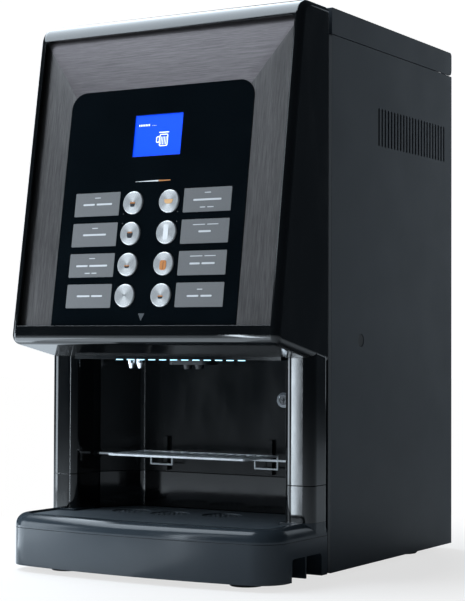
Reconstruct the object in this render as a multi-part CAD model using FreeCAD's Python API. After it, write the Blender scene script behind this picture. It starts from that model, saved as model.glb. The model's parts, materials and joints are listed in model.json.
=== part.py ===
"""Table-top hot coffee vending machine, modelled as an assembly of separate pieces.

Millimetres. +Z is up, +X is to the right as seen by a customer, and -Y is the front.
The origin is the centre of the floor area, at the level of the feet.
"""
import FreeCAD, Part
import math
import os

V = FreeCAD.Vector

# ---------------------------------------------------------------- driving sizes
WIDTH = 400.0
DEPTH = 540.0
HEIGHT = 720.0

FRONT_UNIT_DEPTH = 150.6      # door and drip base, from the foremost point back to the door's back
SEAM_GAP = 1.0                # door back to cabinet frame
FRAME_STRIP = 7.4             # steel strip seen between the door and a side panel
PANEL_SHEET = 1.2             # side, rear and lid sheet
PANEL_FLANGE = 10.0           # folded front and top edges of a side panel
FRAME_SHEET = 1.5             # chassis sheet
MOULDING = 3.0                # wall of the plastic mouldings
LINER_WALL = 2.5              # wall of the cup niche

FOOT_HEIGHT = 10.0
FOOT_RADIUS = 22.0
FOOT_INSET_SIDE = 40.0
FOOT_INSET_REAR = 83.5
PANEL_GROUND_GAP = 8.0
LID_HEIGHT = 33.5
LID_GAP = 1.0
LID_HINGE_RADIUS = 8.0

DOOR_BOTTOM = 120.0
DOOR_GAP = 0.8
BASE_TOP = 74.0
RIM_BOTTOM = 56.4
RIM_EDGE_RADIUS = 15.0
BASE_CORNER_RADIUS = 38.0
BASE_BOW = 11.0               # how far the front bows forward at its middle
RIM_BAND = 17.0
LEDGE_DROP = 9.0              # drip tray ledge below the top of the rim

FACE_TILT = 8.66              # operating face, degrees back from upright
FACE_BOTTOM_SETBACK = 27.6    # lower edge of the operating face behind the foremost point
FACE_BOTTOM_Z = 316.0
RIM_PROUD = 5.5               # frame rim in front of the brushed bezel
FRAME_SIDE_BAND = 10.5
FRAME_TOP_BAND = 22.5
TOP_EDGE_RADIUS = 25.0
CHIN_HEIGHT = 21.2            # from the lower edge of the face to the sharp chin corner
CHIN_SLOPE = 10.9             # underside of the hood, degrees
CHIN_RADIUS = 13.0
FRAME_EDGE_RADIUS = 9.0

COLUMN_WIDTH = 42.0
COLUMN_DEPTH = 42.1
COLUMN_RADIUS = 13.0
HINGE_RADIUS = 6.6            # door hinge axis inside the corner of the door
NICHE_CORNER_RUN = 36.0       # width of each slanted corner wall
NICHE_STRAIGHT = 16.4         # straight side wall behind the door's back
NICHE_DEPTH = 67.9            # rear wall behind the door's back
CEILING_DROP = 42.0            # niche ceiling below the operating face

GLASS_SIDE_BAND = 61.3        # brushed sheet beside the glass
GLASS_TOP_BAND = 75.4         # brushed sheet above the glass
GLASS_RADIUS = 22.0
GLASS_THICKNESS = 3.0
BEZEL_THICKNESS = 2.0
GLASS_PROUD = 0.6             # front of the glass before the bezel
FIT_GAP = 0.4                 # between neighbouring trim pieces
SCREEN_WIDTH = 73.3
SCREEN_HEIGHT = 54.9
SCREEN_DROP = 63.6            # screen centre below the top of the glass
SCREEN_RECESS = 1.7
ROWS = 4
ROW_PITCH = 40.0
FIRST_ROW = 39.0              # lowest row, height up the face
BUTTON_OFFSET = 27.2
BUTTON_RADIUS = 14.8
BUTTON_HOLE_GAP = 0.4
BUTTON_PROUD = 2.2
BUTTON_TRAVEL = 1.5
BUTTON_STEM = 4.0
KEYPAD_SETBACK = 16.0         # switch board behind the bezel
LABEL_OFFSET = 83.2
LABEL_WIDTH = 69.4
LABEL_HEIGHT = 30.7
LABEL_THICKNESS = 1.0

VENT_SLOTS = 23
VENT_PITCH = 9.77
VENT_SLOT_WIDTH = 4.2
VENT_SLOT_HEIGHT = 51.0
VENT_FIRST_FROM_REAR = 28.5
VENT_TOP_DROP = 110.5         # top of the slots below the top of the machine
PLUG_RADIUS = 10.0
PLUG_FROM_FRAME = 84.2
PLUG_Z = 299.7

HINGE_ARM_DROP = 68.0         # upper door bracket below the top of the machine
HINGE_ARM = 4.0
EAR_INSET = 24.0              # lid hinge ears from the sides
EAR_WIDTH = 4.0
EAR_RADIUS = 5.5
LID_PIN = 3.0
PIN_RADIUS = 4.0
PIN_CLEARANCE = 0.05
RUNNING_CLEARANCE = 0.08

HAND_FRONT = 58.5             # hand recess from the foremost point
HAND_LENGTH = 77.0
HAND_TOP = 36.0
HAND_DEPTH = 22.0
BASIN_FLOOR = 26.0
BASIN_LIP = 1.5
PLATE_DROP = 2.6              # drip plate below the top of the rim
PLATE_SHEET = 3.0
GRATE_RADIUS = 26.0
GRATES = [(-92.0, -5.6), (-30.0, -5.6), (40.0, 9.4)]     # across, and behind the door's back

SHELF_Z = 145.5
SHELF_INSET = 97.5            # ends of the shelf from the sides
SHELF_WIRE = 1.5
SHELF_FRONT = 48.0            # front edge in front of the pivot
SHELF_REAR = 33.0             # rear edge behind the pivot
SHELF_WIRES = 15
PIVOT_SETBACK = 6.9           # shelf pivot behind the door's back
LOOP_OFFSET = 82.0
LOOP_WIDTH = 34.0
LOOP_DROP = 15.0
LOOP_REACH = 46.0             # support loops behind the pivot
RAIL_WIDTH = 7.0
RAIL_BOTTOM = 122.0
RAIL_TOP = 168.0

LED_COUNT = 12
LED_PITCH = 17.05
LED_LENGTH = 10.0
LOCK_X = 101.0
LOCK_Z = 221.0
LOCK_RADIUS = 10.0
LOCK_PLUG_RADIUS = 6.5
HEAD_SETBACK = 3.0            # coffee outlet behind the door's back
HEAD_HALF = 30.0
SPOUT_OFFSET = 9.0
NOZZLES = (-98.0, -84.0)      # hot water and steam outlets
LED_SETBACK = 10.0            # lights behind the front of the columns

SERVICE_LEFT = 28.0           # rear service pocket from the left side
SERVICE_WIDTH = 134.0
SERVICE_LOW = 42.0
SERVICE_HIGH = 112.0
SERVICE_DEPTH = 28.0
MAINS_SPOT = 34.0             # along the service pocket from its left end
SWITCH_SPOT = 74.0
WATER_SPOT = 110.0
WATER_RADIUS = 13.2           # three-quarter inch hose thread
WATER_LENGTH = 18.0
FAN_SHARE = 0.3               # fan, boiler and brew unit sideways, as a share of the width
FAN_DROP = 120.0              # fan below the top of the machine
FAN_SIZE = 92.0
FAN_DEPTH = 25.0

BAYS = 3
BAY_MARGIN = 11.0             # outer bays from the sides
BAY_GAP = 10.0
CANISTER_WALL = 2.5
CANISTER_HEIGHT = 180.0
CANISTER_HEADROOM = 21.5      # above the canisters, up to the lid's seam
AUGER_RADIUS = 15.0
AUGER_GAP = 2.0
AUGER_SHAFT = 3.0
DECK_GAP = 6.0                # canisters above their shelf
BULKHEAD_FROM_REAR = 150.0
HOPPER_SETBACK = 91.0         # bean hopper's throat behind the frame strip
BOWL_SETBACK = 49.0           # mixing bowl's middle behind the frame strip
BOWL_MARGIN = 20.0            # bowl's mouth past the canister outlets
WHIP_DROP = 92.0              # whipper below the canister shelf
WHIP_RADIUS = 15.0
WHIP_SHAFT = 3.0
GRINDER_HEIGHT = 78.0
BURR_RADIUS = 24.0
BURR_GROOVES = 8
BREW_SETBACK = 147.0          # brew chamber behind the frame strip
BREW_LOW = 182.0
BREW_HIGH = 332.0
PISTON_RADIUS = 22.0
BOILER_RADIUS = 46.0
BOILER_HEIGHT = 150.0
PUMP_RADIUS = 22.0
TANK_WIDTH = 80.0
TANK_HEIGHT = 140.0
BIN_TOP = 164.0
TUBE_RADIUS = 4.0
TUBE_GAP = 0.5

# ------------------------------------------------------------- derived places
X_SIDE = WIDTH / 2
Y_FRONT = -DEPTH / 2
Y_REAR = DEPTH / 2
DOOR_BACK = Y_FRONT + FRONT_UNIT_DEPTH
FRAME_FRONT = DOOR_BACK + SEAM_GAP
FRAME_BACK = FRAME_FRONT + FRAME_STRIP
PANEL_FRONT = FRAME_BACK + 0.5
PANEL_TOP = HEIGHT - LID_HEIGHT - LID_GAP
COLUMN_INNER = X_SIDE - COLUMN_WIDTH
COLUMN_FRONT = DOOR_BACK - COLUMN_DEPTH
HINGE_X = -X_SIDE + HINGE_RADIUS
HINGE_Y = DOOR_BACK - HINGE_RADIUS
NICHE_BACK = DOOR_BACK + NICHE_DEPTH
NICHE_BACK_HALF = COLUMN_INNER - NICHE_CORNER_RUN
FACE_Y = Y_FRONT + FACE_BOTTOM_SETBACK
LEDGE_Z = BASE_TOP - LEDGE_DROP
PIVOT_Y = DOOR_BACK + PIVOT_SETBACK
BULKHEAD_Y = Y_REAR - BULKHEAD_FROM_REAR
FACE_LENGTH = (HEIGHT - FRAME_TOP_BAND - FACE_BOTTOM_Z) / math.cos(math.radians(FACE_TILT))
CEILING_Z = FACE_BOTTOM_Z - CEILING_DROP
GLASS_HALF = X_SIDE - GLASS_SIDE_BAND
GLASS_HEIGHT = FACE_LENGTH - GLASS_TOP_BAND
SCREEN_CENTRE = GLASS_HEIGHT - SCREEN_DROP
HINGE_ARM_Z = HEIGHT - HINGE_ARM_DROP
EAR_X = X_SIDE - EAR_INSET
PLATE_TOP = BASE_TOP - PLATE_DROP
SHELF_HALF = X_SIDE - SHELF_INSET
HEAD_Y = DOOR_BACK + HEAD_SETBACK
LED_Y = COLUMN_FRONT + LED_SETBACK
POCKET_FLOOR = Y_REAR - SERVICE_DEPTH
POCKET_LEFT = -X_SIDE + SERVICE_LEFT
POCKET_RIGHT = POCKET_LEFT + SERVICE_WIDTH
MAINS_X = POCKET_LEFT + MAINS_SPOT
SWITCH_X = POCKET_LEFT + SWITCH_SPOT
WATER_X = POCKET_LEFT + WATER_SPOT
SERVICE_Z = (SERVICE_LOW + SERVICE_HIGH) / 2
FAN_X = FAN_SHARE * WIDTH
FAN_Z = HEIGHT - FAN_DROP
BAY_PITCH = (WIDTH - 2 * BAY_MARGIN) / BAYS
BAY_HALF = (BAY_PITCH - BAY_GAP) / 2
BAY_CENTRES = [(i - (BAYS - 1) / 2) * BAY_PITCH for i in range(BAYS)]
CANISTER_TOP = PANEL_TOP - CANISTER_HEADROOM
CANISTER_FLOOR = CANISTER_TOP - CANISTER_HEIGHT
DECK_Z = CANISTER_FLOOR - DECK_GAP
CAN_FRONT = FRAME_BACK + 24.0
CAN_BACK = BULKHEAD_Y - 8.0
AUGER_Z = CANISTER_FLOOR + AUGER_RADIUS + AUGER_GAP + CANISTER_WALL
HOPPER_X = BAY_CENTRES[0]
HOPPER_Y = FRAME_BACK + HOPPER_SETBACK
BOWL_X = (BAY_CENTRES[1] + BAY_CENTRES[2]) / 2
BOWL_Y = FRAME_BACK + BOWL_SETBACK
WHIP_Z = DECK_Z - WHIP_DROP
GRINDER_Z = DECK_Z - GRINDER_HEIGHT
BREW_X = -FAN_SHARE * WIDTH
BREW_Y = FRAME_BACK + BREW_SETBACK
BOILER_X = FAN_SHARE * WIDTH
BOILER_Y = BULKHEAD_Y + 80.0
PUMP_X = -6.0
PUMP_Y = BULKHEAD_Y + 70.0
PUMP_Z = 50.0
TANK_LEFT = -X_SIDE + 16.0
TANK_X = TANK_LEFT + TANK_WIDTH / 2
TANK_LOW = DECK_Z - TANK_HEIGHT - 8.0
TANK_OUTLET_Y = BULKHEAD_Y + 40.0


# ------------------------------------------------------------------ shape tools
def box(x0, x1, y0, y1, z0, z1):
    return Part.makeBox(x1 - x0, y1 - y0, z1 - z0, V(x0, y0, z0))


def pair_of(shape):
    """The shape and its mirror image across the middle plane."""
    return [shape, mirrored(shape)]


def mirrored(shape):
    return shape.mirror(V(0, 0, 0), V(1, 0, 0))


def rod(start, end, radius):
    """A round bar from one point to another."""
    direction = V(*end) - V(*start)
    return Part.makeCylinder(radius, direction.Length, V(*start), direction)


def rounded_wire(corners):
    """A closed wire through (x, y, radius) corners, each rounded by a tangent arc."""
    entries = []
    count = len(corners)
    for i in range(count):
        x, y, radius = corners[i]
        here = V(x, y, 0)
        before = V(corners[i - 1][0], corners[i - 1][1], 0) - here
        after = V(corners[(i + 1) % count][0], corners[(i + 1) % count][1], 0) - here
        before.normalize()
        after.normalize()
        if radius <= 0:
            entries.append((here, None, here))
            continue
        half = before.getAngle(after) / 2
        run = radius / math.tan(half)
        bisector = before + after
        bisector.normalize()
        middle = here + bisector * (radius / math.sin(half) - radius)
        entries.append((here + before * run, middle, here + after * run))
    edges = []
    for i in range(count):
        start, middle, end = entries[i]
        if middle is not None:
            edges.append(Part.Arc(start, middle, end).toShape())
        following = entries[(i + 1) % count][0]
        if (following - end).Length > 1e-6:
            edges.append(Part.LineSegment(end, following).toShape())
    return Part.Wire(edges)


def slab(corners, z0, z1):
    """A plan outline of (x, y, radius) corners, pulled up from z0 to z1."""
    solid = Part.Face(rounded_wire(corners)).extrude(V(0, 0, z1 - z0))
    solid.translate(V(0, 0, z0))
    return solid


def profile_bar(corners, x0, x1):
    """A side outline of (y, z, radius) corners, pulled across from x0 to x1."""
    solid = Part.Face(rounded_wire(corners)).extrude(V(0, 0, x1 - x0))
    solid.rotate(V(0, 0, 0), V(0, 0, 1), 90)
    solid.rotate(V(0, 0, 0), V(0, 1, 0), 90)
    solid.translate(V(x0, 0, 0))
    return solid


def panel(corners, front, back):
    """An upright plate from an (x, z, radius) outline, from y = front to y = back."""
    solid = Part.Face(rounded_wire(corners)).extrude(V(0, 0, -(back - front)))
    solid.rotate(V(0, 0, 0), V(1, 0, 0), 90)
    solid.translate(V(0, front, 0))
    return solid


def rectangle(x0, x1, y0, y1, radius=0.0):
    return [(x0, y0, radius), (x1, y0, radius), (x1, y1, radius), (x0, y1, radius)]


def fused(shapes):
    result = shapes[0]
    if len(shapes) > 1:
        result = shapes[0].multiFuse(shapes[1:])
    return result.removeSplitter()


def on_face(shape):
    """Tilts a piece drawn upright at y = 0, z = 0 into the plane of the operating face."""
    shape.rotate(V(0, 0, 0), V(1, 0, 0), -FACE_TILT)
    shape.translate(V(0, FACE_Y, FACE_BOTTOM_Z))
    return shape


def tube_run(points, radius):
    """A tube along straight runs with ball corners."""
    pieces = [rod(points[i], points[i + 1], radius) for i in range(len(points) - 1)]
    pieces += [Part.makeSphere(radius, V(*p)) for p in points[1:-1]]
    return fused(pieces)


def save(name, shapes):
    if isinstance(shapes, list):
        shapes = Part.makeCompound(shapes)
    shapes.exportStep("parts/" + name + ".step")


# -------------------------------------------------------------- shared outlines
def base_outline(inset):
    """Plan of the drip base, with a bowed front and round front corners."""
    half = X_SIDE - inset
    front = Y_FRONT + inset
    shoulder = front + BASE_BOW
    corner = max(BASE_CORNER_RADIUS - inset, 4.0)
    run = BASE_CORNER_RADIUS
    bow = Part.Arc(V(-half + run, shoulder, 0), V(0, front, 0), V(half - run, shoulder, 0)).toShape()
    slope = bow.tangentAt(bow.FirstParameter)
    slope.normalize()
    left_meet = V(-half, shoulder - slope.y / slope.x * run, 0)
    right_meet = V(half, left_meet.y, 0)
    rear = DOOR_BACK - 0.2
    edges = [Part.LineSegment(V(-half, rear, 0), left_meet).toShape()]
    edges.append(Part.LineSegment(left_meet, V(-half + run, shoulder, 0)).toShape())
    edges.append(bow)
    edges.append(Part.LineSegment(V(half - run, shoulder, 0), right_meet).toShape())
    edges.append(Part.LineSegment(right_meet, V(half, rear, 0)).toShape())
    edges.append(Part.LineSegment(V(half, rear, 0), V(-half, rear, 0)).toShape())
    return Part.Face(Part.Wire(edges)), corner


def base_block(inset, z0, z1):
    face, corner = base_outline(inset)
    solid = face.extrude(V(0, 0, z1 - z0))
    solid.translate(V(0, 0, z0))
    upright = []
    for edge in solid.Edges:
        low, high = edge.Vertexes[0].Point, edge.Vertexes[-1].Point
        is_upright = abs(low.x - high.x) < 1e-6 and abs(low.y - high.y) < 1e-6
        if is_upright and low.y < DOOR_BACK - 60 and abs(low.x) > X_SIDE - inset - 1:
            upright.append(edge)
    return solid.makeFillet(corner, upright)


def niche_outline(grow, front):
    """Plan of the cup niche behind y = front, as its walls' inner faces grown outward."""
    slant = math.hypot(NICHE_CORNER_RUN, NICHE_DEPTH - NICHE_STRAIGHT)
    side = COLUMN_INNER + grow
    back = NICHE_BACK + grow
    lean = (NICHE_DEPTH - NICHE_STRAIGHT) / slant
    across = NICHE_CORNER_RUN / slant
    knee = DOOR_BACK + NICHE_STRAIGHT + grow * (1 - across) / lean
    heel = NICHE_BACK_HALF + grow * (1 - lean) / across
    return [(-side, front, 0), (side, front, 0), (side, knee, 0),
            (heel, back, 8), (-heel, back, 8), (-side, knee, 0)]


def tray_opening(gap):
    """Plan of the opening that the drip plate drops into, shrunk by gap all round."""
    side = X_SIDE - RIM_BAND - gap
    front = Y_FRONT + RIM_BAND + gap
    neck = COLUMN_INNER - 4.0 - gap
    step = COLUMN_FRONT - 4.0 - gap
    rear = niche_outline(-4.0 - gap, step)
    return [(-side, front + BASE_BOW, 22), (0, front, 800), (side, front + BASE_BOW, 22),
            (side, step, 6), (neck, step, 6), rear[2], rear[3], rear[4], rear[5],
            (-neck, step, 6), (-side, step, 6)]


def hood_outline(front_inset, wall, rear):
    """Side outline of the door's upper hood, moved in from its outer skin."""
    tilt = math.radians(FACE_TILT)
    slope = math.radians(CHIN_SLOPE)
    offset = RIM_PROUD - front_inset
    face_y = FACE_Y - offset * math.cos(tilt)
    face_z = FACE_BOTTOM_Z + offset * math.sin(tilt)
    top = HEIGHT - wall
    top_y = face_y + (top - face_z) * math.tan(tilt)
    chin_z = FACE_BOTTOM_Z - CHIN_HEIGHT
    chin_y = FACE_Y - RIM_PROUD / math.cos(tilt) - CHIN_HEIGHT * math.tan(tilt)
    under_z = chin_z + wall / math.cos(slope)
    # where the moved face line meets the moved underside line
    run = face_y + (under_z - face_z) * math.tan(tilt) - chin_y
    fall = 1 + math.tan(tilt) * math.tan(slope)
    meet_y = chin_y + run / fall
    meet_z = under_z - (meet_y - chin_y) * math.tan(slope)
    rear_z = under_z - (rear - chin_y) * math.tan(slope)
    outer = wall == 0
    return [(rear, top, 0), (rear, rear_z, 0),
            (meet_y, meet_z, CHIN_RADIUS if outer else 8.0),
            (top_y, top, TOP_EDGE_RADIUS if outer else 18.0)]


# ------------------------------------------------------------- cabinet chassis
def chassis():
    inner = X_SIDE - PANEL_SHEET - 0.3
    back = Y_REAR - PANEL_SHEET - 0.3
    floor_top = FOOT_HEIGHT + FRAME_SHEET
    top = PANEL_TOP - PANEL_SHEET - 0.3
    pieces = [box(-inner, inner, FRAME_FRONT, back, FOOT_HEIGHT, floor_top)]
    tongue = X_SIDE - FOOT_INSET_SIDE + 5.0
    pieces.append(box(-tongue, tongue, Y_FRONT + 32, FRAME_FRONT + 1, FOOT_HEIGHT, floor_top))
    post_inner = COLUMN_INNER + LINER_WALL + 2.5
    strip = box(post_inner, X_SIDE, FRAME_FRONT, FRAME_BACK, FOOT_HEIGHT, top)
    channel = box(post_inner + FRAME_SHEET, X_SIDE - FRAME_SHEET, FRAME_FRONT + FRAME_SHEET,
                  FRAME_BACK + 1, floor_top, top + 1)
    pieces += pair_of(strip.cut(channel))
    angle = 18.0
    upright = box(inner - angle, inner, back - angle, back, FOOT_HEIGHT, top)
    upright = upright.cut(box(inner - angle - 1, inner - FRAME_SHEET, back - angle - 1,
                              back - FRAME_SHEET, floor_top, top + 1))
    pieces += pair_of(upright)
    rail = 12.0
    shelf = 18.0
    side_rail = box(inner - shelf, inner, FRAME_BACK - 1, back, top - rail, top)
    side_rail = side_rail.cut(box(inner - shelf - 1, inner - FRAME_SHEET, FRAME_BACK - 2, back + 1,
                                  top - rail - 1, top - FRAME_SHEET))
    pieces += pair_of(side_rail)
    pieces.append(box(-inner, inner, FRAME_FRONT, FRAME_FRONT + FRAME_SHEET, top - rail, top))
    pieces.append(box(-inner, inner, back - FRAME_SHEET, back, top - rail, top))
    pieces += pair_of(lid_ear(top))
    flange_room = box(X_SIDE - PANEL_FLANGE - 0.5, X_SIDE + 1, PANEL_FRONT - 0.2,
                      PANEL_FRONT + PANEL_SHEET + 0.3, 0, HEIGHT)
    return fused(pieces).cut(pair_of(flange_room))


def lid_axis():
    return Y_REAR - LID_HINGE_RADIUS, HEIGHT - LID_HEIGHT + LID_HINGE_RADIUS


def lid_ear(top):
    y, z = lid_axis()
    eye = rod((EAR_X, y, z), (EAR_X + EAR_WIDTH, y, z), EAR_RADIUS)
    arm = box(EAR_X, EAR_X + EAR_WIDTH, y - EAR_RADIUS, y + EAR_RADIUS, top - 6, z)
    return eye.fuse(arm).cut(rod((EAR_X - 1, y, z), (EAR_X + EAR_WIDTH + 1, y, z), LID_PIN))


def feet():
    places = [(X_SIDE - FOOT_INSET_SIDE, Y_REAR - FOOT_INSET_REAR),
              (X_SIDE - FOOT_INSET_SIDE - 25, Y_FRONT + 62)]
    group = []
    for x, y in places:
        foot = Part.makeCylinder(FOOT_RADIUS, FOOT_HEIGHT, V(x, y, 0))
        foot = foot.makeChamfer(2.0, [foot.Edges[2]])
        group += pair_of(foot)
    return group


def vent_cutters(x0, x1):
    top = HEIGHT - VENT_TOP_DROP
    radius = VENT_SLOT_WIDTH / 2
    cutters = []
    for i in range(VENT_SLOTS):
        y = Y_REAR - VENT_FIRST_FROM_REAR - i * VENT_PITCH
        body = box(x0, x1, y - radius, y + radius, top - VENT_SLOT_HEIGHT + radius, top - radius)
        for z in (top - radius, top - VENT_SLOT_HEIGHT + radius):
            body = body.fuse(rod((x0, y, z), (x1, y, z), radius))
        cutters.append(body)
    return cutters


def side_panel():
    """Right-hand folded side panel."""
    outer = box(X_SIDE - 20, X_SIDE, PANEL_FRONT, Y_REAR, PANEL_GROUND_GAP, PANEL_TOP)
    front_flange = box(X_SIDE - 21, X_SIDE - PANEL_FLANGE, PANEL_FRONT - 1, Y_REAR - PANEL_SHEET,
                       PANEL_GROUND_GAP - 1, PANEL_TOP + 1)
    hollow = box(X_SIDE - 21, X_SIDE - PANEL_SHEET, PANEL_FRONT + PANEL_SHEET, Y_REAR - PANEL_SHEET,
                 PANEL_GROUND_GAP + PANEL_SHEET, PANEL_TOP - PANEL_SHEET)
    shell = outer.cut(front_flange).cut(hollow)
    plug_y = PANEL_FRONT + PLUG_FROM_FRAME
    shell = shell.cut(rod((X_SIDE - 5, plug_y, PLUG_Z), (X_SIDE + 5, plug_y, PLUG_Z), PLUG_RADIUS - 1.5))
    return shell.cut(vent_cutters(X_SIDE - 5, X_SIDE + 5))


def side_plug():
    plug_y = PANEL_FRONT + PLUG_FROM_FRAME
    stem = rod((X_SIDE - 8, plug_y, PLUG_Z), (X_SIDE - PANEL_SHEET, plug_y, PLUG_Z), PLUG_RADIUS - 2)
    lip = rod((X_SIDE - PANEL_SHEET - 1.5, plug_y, PLUG_Z), (X_SIDE - PANEL_SHEET, plug_y, PLUG_Z),
              PLUG_RADIUS + 1)
    face = rod((X_SIDE - PANEL_SHEET, plug_y, PLUG_Z), (X_SIDE - 0.4, plug_y, PLUG_Z), PLUG_RADIUS - 2)
    return fused([stem, lip, face])


def rear_panel():
    half = X_SIDE - 20.5
    low, high = FOOT_HEIGHT + 4, PANEL_TOP - 0.5
    sheet = panel(rectangle(-half, half, low, high, 2), Y_REAR - PANEL_SHEET, Y_REAR)
    inside = Y_REAR - PANEL_SHEET
    tub = box(POCKET_LEFT, POCKET_RIGHT, POCKET_FLOOR - PANEL_SHEET, inside, SERVICE_LOW, SERVICE_HIGH)
    flange = box(POCKET_LEFT - 6, POCKET_RIGHT + 6, inside - PANEL_SHEET, inside, SERVICE_LOW - 6, SERVICE_HIGH + 6)
    hollow = box(POCKET_LEFT + PANEL_SHEET, POCKET_RIGHT - PANEL_SHEET, POCKET_FLOOR, Y_REAR + 1,
                 SERVICE_LOW + PANEL_SHEET, SERVICE_HIGH - PANEL_SHEET)
    cutters = [rod((WATER_X, Y_REAR - 60, SERVICE_Z), (WATER_X, Y_REAR, SERVICE_Z), 9.0)]
    cutters.append(box(MAINS_X - 14, MAINS_X + 14, Y_REAR - 60, Y_REAR, SERVICE_Z - 10.5, SERVICE_Z + 10.5))
    cutters.append(box(SWITCH_X - 7, SWITCH_X + 7, Y_REAR - 60, Y_REAR, SERVICE_Z - 10.5, SERVICE_Z + 10.5))
    for ring in range(1, 5):
        for i in range(6 * ring):
            turn = math.radians(60.0 * i / ring)
            x = FAN_X + 9.0 * ring * math.cos(turn)
            z = FAN_Z + 9.0 * ring * math.sin(turn)
            cutters.append(rod((x, Y_REAR - 5, z), (x, Y_REAR + 5, z), 3.2))
    for i in range(12):
        x = -150 + i * 12.0
        cutters.append(panel(rectangle(x, x + 5, FAN_Z - 35, FAN_Z + 35, 2.4), Y_REAR - 5, Y_REAR + 5))
    return [sheet.cut([hollow] + cutters), tub.fuse(flange).cut([hollow] + cutters)]


def water_inlet():
    floor = POCKET_FLOOR
    spout = rod((WATER_X, floor, SERVICE_Z), (WATER_X, floor + WATER_LENGTH, SERVICE_Z), WATER_RADIUS)
    neck = rod((WATER_X, floor - 16, SERVICE_Z), (WATER_X, floor, SERVICE_Z), 8.7)
    barb = rod((WATER_X, floor - 40, SERVICE_Z), (WATER_X, floor - 16, SERVICE_Z), 5.0)
    bore = rod((WATER_X, floor - 41, SERVICE_Z), (WATER_X, floor + WATER_LENGTH + 1, SERVICE_Z), 3.2)
    mouth = rod((WATER_X, floor + 4, SERVICE_Z), (WATER_X, floor + WATER_LENGTH + 1, SERVICE_Z), 9.5)
    return fused([spout, neck, barb]).cut([bore, mouth])


def mains_inlet():
    floor = POCKET_FLOOR
    flange = panel(rectangle(MAINS_X - 24, SWITCH_X + 13, SERVICE_Z - 16, SERVICE_Z + 16, 3),
                   floor, floor + 3)
    rear_box = box(MAINS_X - 13.7, MAINS_X + 13.7, floor - 22, floor + 1, SERVICE_Z - 10.2, SERVICE_Z + 10.2)
    switch_box = box(SWITCH_X - 6.7, SWITCH_X + 6.7, floor - 14, floor + 1,
                     SERVICE_Z - 10.2, SERVICE_Z + 10.2)
    socket = panel(rectangle(MAINS_X - 12, MAINS_X + 12, SERVICE_Z - 8.2, SERVICE_Z + 8.2, 3),
                   floor - 15, floor + 4)
    rocker_room = rod((SWITCH_X - 5, floor + 1, SERVICE_Z), (SWITCH_X + 5, floor + 1, SERVICE_Z), 9.0)
    body = fused([flange, rear_box, switch_box]).cut([socket, rocker_room])
    pins = [box(MAINS_X + dx - 1, MAINS_X + dx + 1, floor - 16, floor - 2, SERVICE_Z + dz - 2, SERVICE_Z + dz + 2)
            for dx, dz in ((-7, 2), (0, -2.5), (7, 2))]
    return fused([body] + pins)


def power_rocker():
    """A half-round rocker that rests tipped one way and can be tipped the other way."""
    y = POCKET_FLOOR + 1
    drum = rod((SWITCH_X - 4.6, y, SERVICE_Z), (SWITCH_X + 4.6, y, SERVICE_Z), 8.6)
    cap = box(SWITCH_X - 6, SWITCH_X + 6, y + 4, y + 12, SERVICE_Z - 12, SERVICE_Z + 12)
    cap.rotate(V(SWITCH_X, y, SERVICE_Z), V(1, 0, 0), 8)
    return drum.cut(cap)


def top_lid():
    y0, y1 = PANEL_FRONT, Y_REAR
    z0, z1 = HEIGHT - LID_HEIGHT, HEIGHT
    wall = 2.0
    outer = profile_bar([(y0, z0, 0), (y1, z0, LID_HINGE_RADIUS), (y1, z1, 5), (y0, z1, 1)],
                        -X_SIDE, X_SIDE)
    inner = profile_bar([(y0 + wall, z0 - 20, 0), (y1 - wall, z0 - 20, 0), (y1 - wall, z1 - wall, 3),
                         (y0 + wall, z1 - wall, 0)], -X_SIDE + wall, X_SIDE - wall)
    shell = outer.cut(inner)
    hinge_y, hinge_z = lid_axis()
    notch = box(EAR_X - 4, EAR_X + EAR_WIDTH + 4, y1 - 20, y1 + 1, z0 - 1, hinge_z + 9)
    shell = shell.cut(pair_of(notch))
    knuckle = box(EAR_X - 14, EAR_X - 1, hinge_y - 5, hinge_y + 5, hinge_z - 5, z1 - wall / 2)
    bore = rod((EAR_X - 20, hinge_y, hinge_z), (EAR_X, hinge_y, hinge_z), LID_PIN + PIN_CLEARANCE)
    return fused([shell] + pair_of(knuckle.cut(bore)))


def lock_striker():
    """Steel angle on the bulkhead side that the lock's cam turns behind."""
    x0 = LOCK_X + 22
    y0 = NICHE_BACK + LINER_WALL + 5
    lip = box(x0, x0 + 12, y0, y0 + 2, LOCK_Z - 12, LOCK_Z + 12)
    arm = box(x0 + 10, x0 + 12, y0, BULKHEAD_Y, LOCK_Z - 12, LOCK_Z + 12)
    foot = box(x0 + 10, x0 + 30, BULKHEAD_Y - 2, BULKHEAD_Y, LOCK_Z - 12, LOCK_Z + 12)
    return fused([lip, arm, foot])


def door_hardware():
    """Lower door pin, upper door hinge bracket with its pin, lid pins and lock striker."""
    lower = rod((HINGE_X, HINGE_Y, DOOR_BOTTOM - 22), (HINGE_X, HINGE_Y, DOOR_BOTTOM + 11), PIN_RADIUS)
    arm = slab([(HINGE_X - 5.5, HINGE_Y - 5.5, 5), (HINGE_X + 5.5, HINGE_Y - 5.5, 5),
                (HINGE_X + 9, FRAME_FRONT - 4, 2), (HINGE_X + 9, FRAME_FRONT, 0),
                (HINGE_X - 5.5, FRAME_FRONT, 0)], HINGE_ARM_Z, HINGE_ARM_Z + HINGE_ARM)
    upper = rod((HINGE_X, HINGE_Y, HINGE_ARM_Z), (HINGE_X, HINGE_Y, HINGE_ARM_Z + HINGE_ARM + 14), PIN_RADIUS)
    y, z = lid_axis()
    lid_pin = rod((EAR_X - 13, y, z), (EAR_X + EAR_WIDTH, y, z), LID_PIN)
    return [lower, fused([arm, upper]), lock_striker()] + pair_of(lid_pin)


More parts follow.
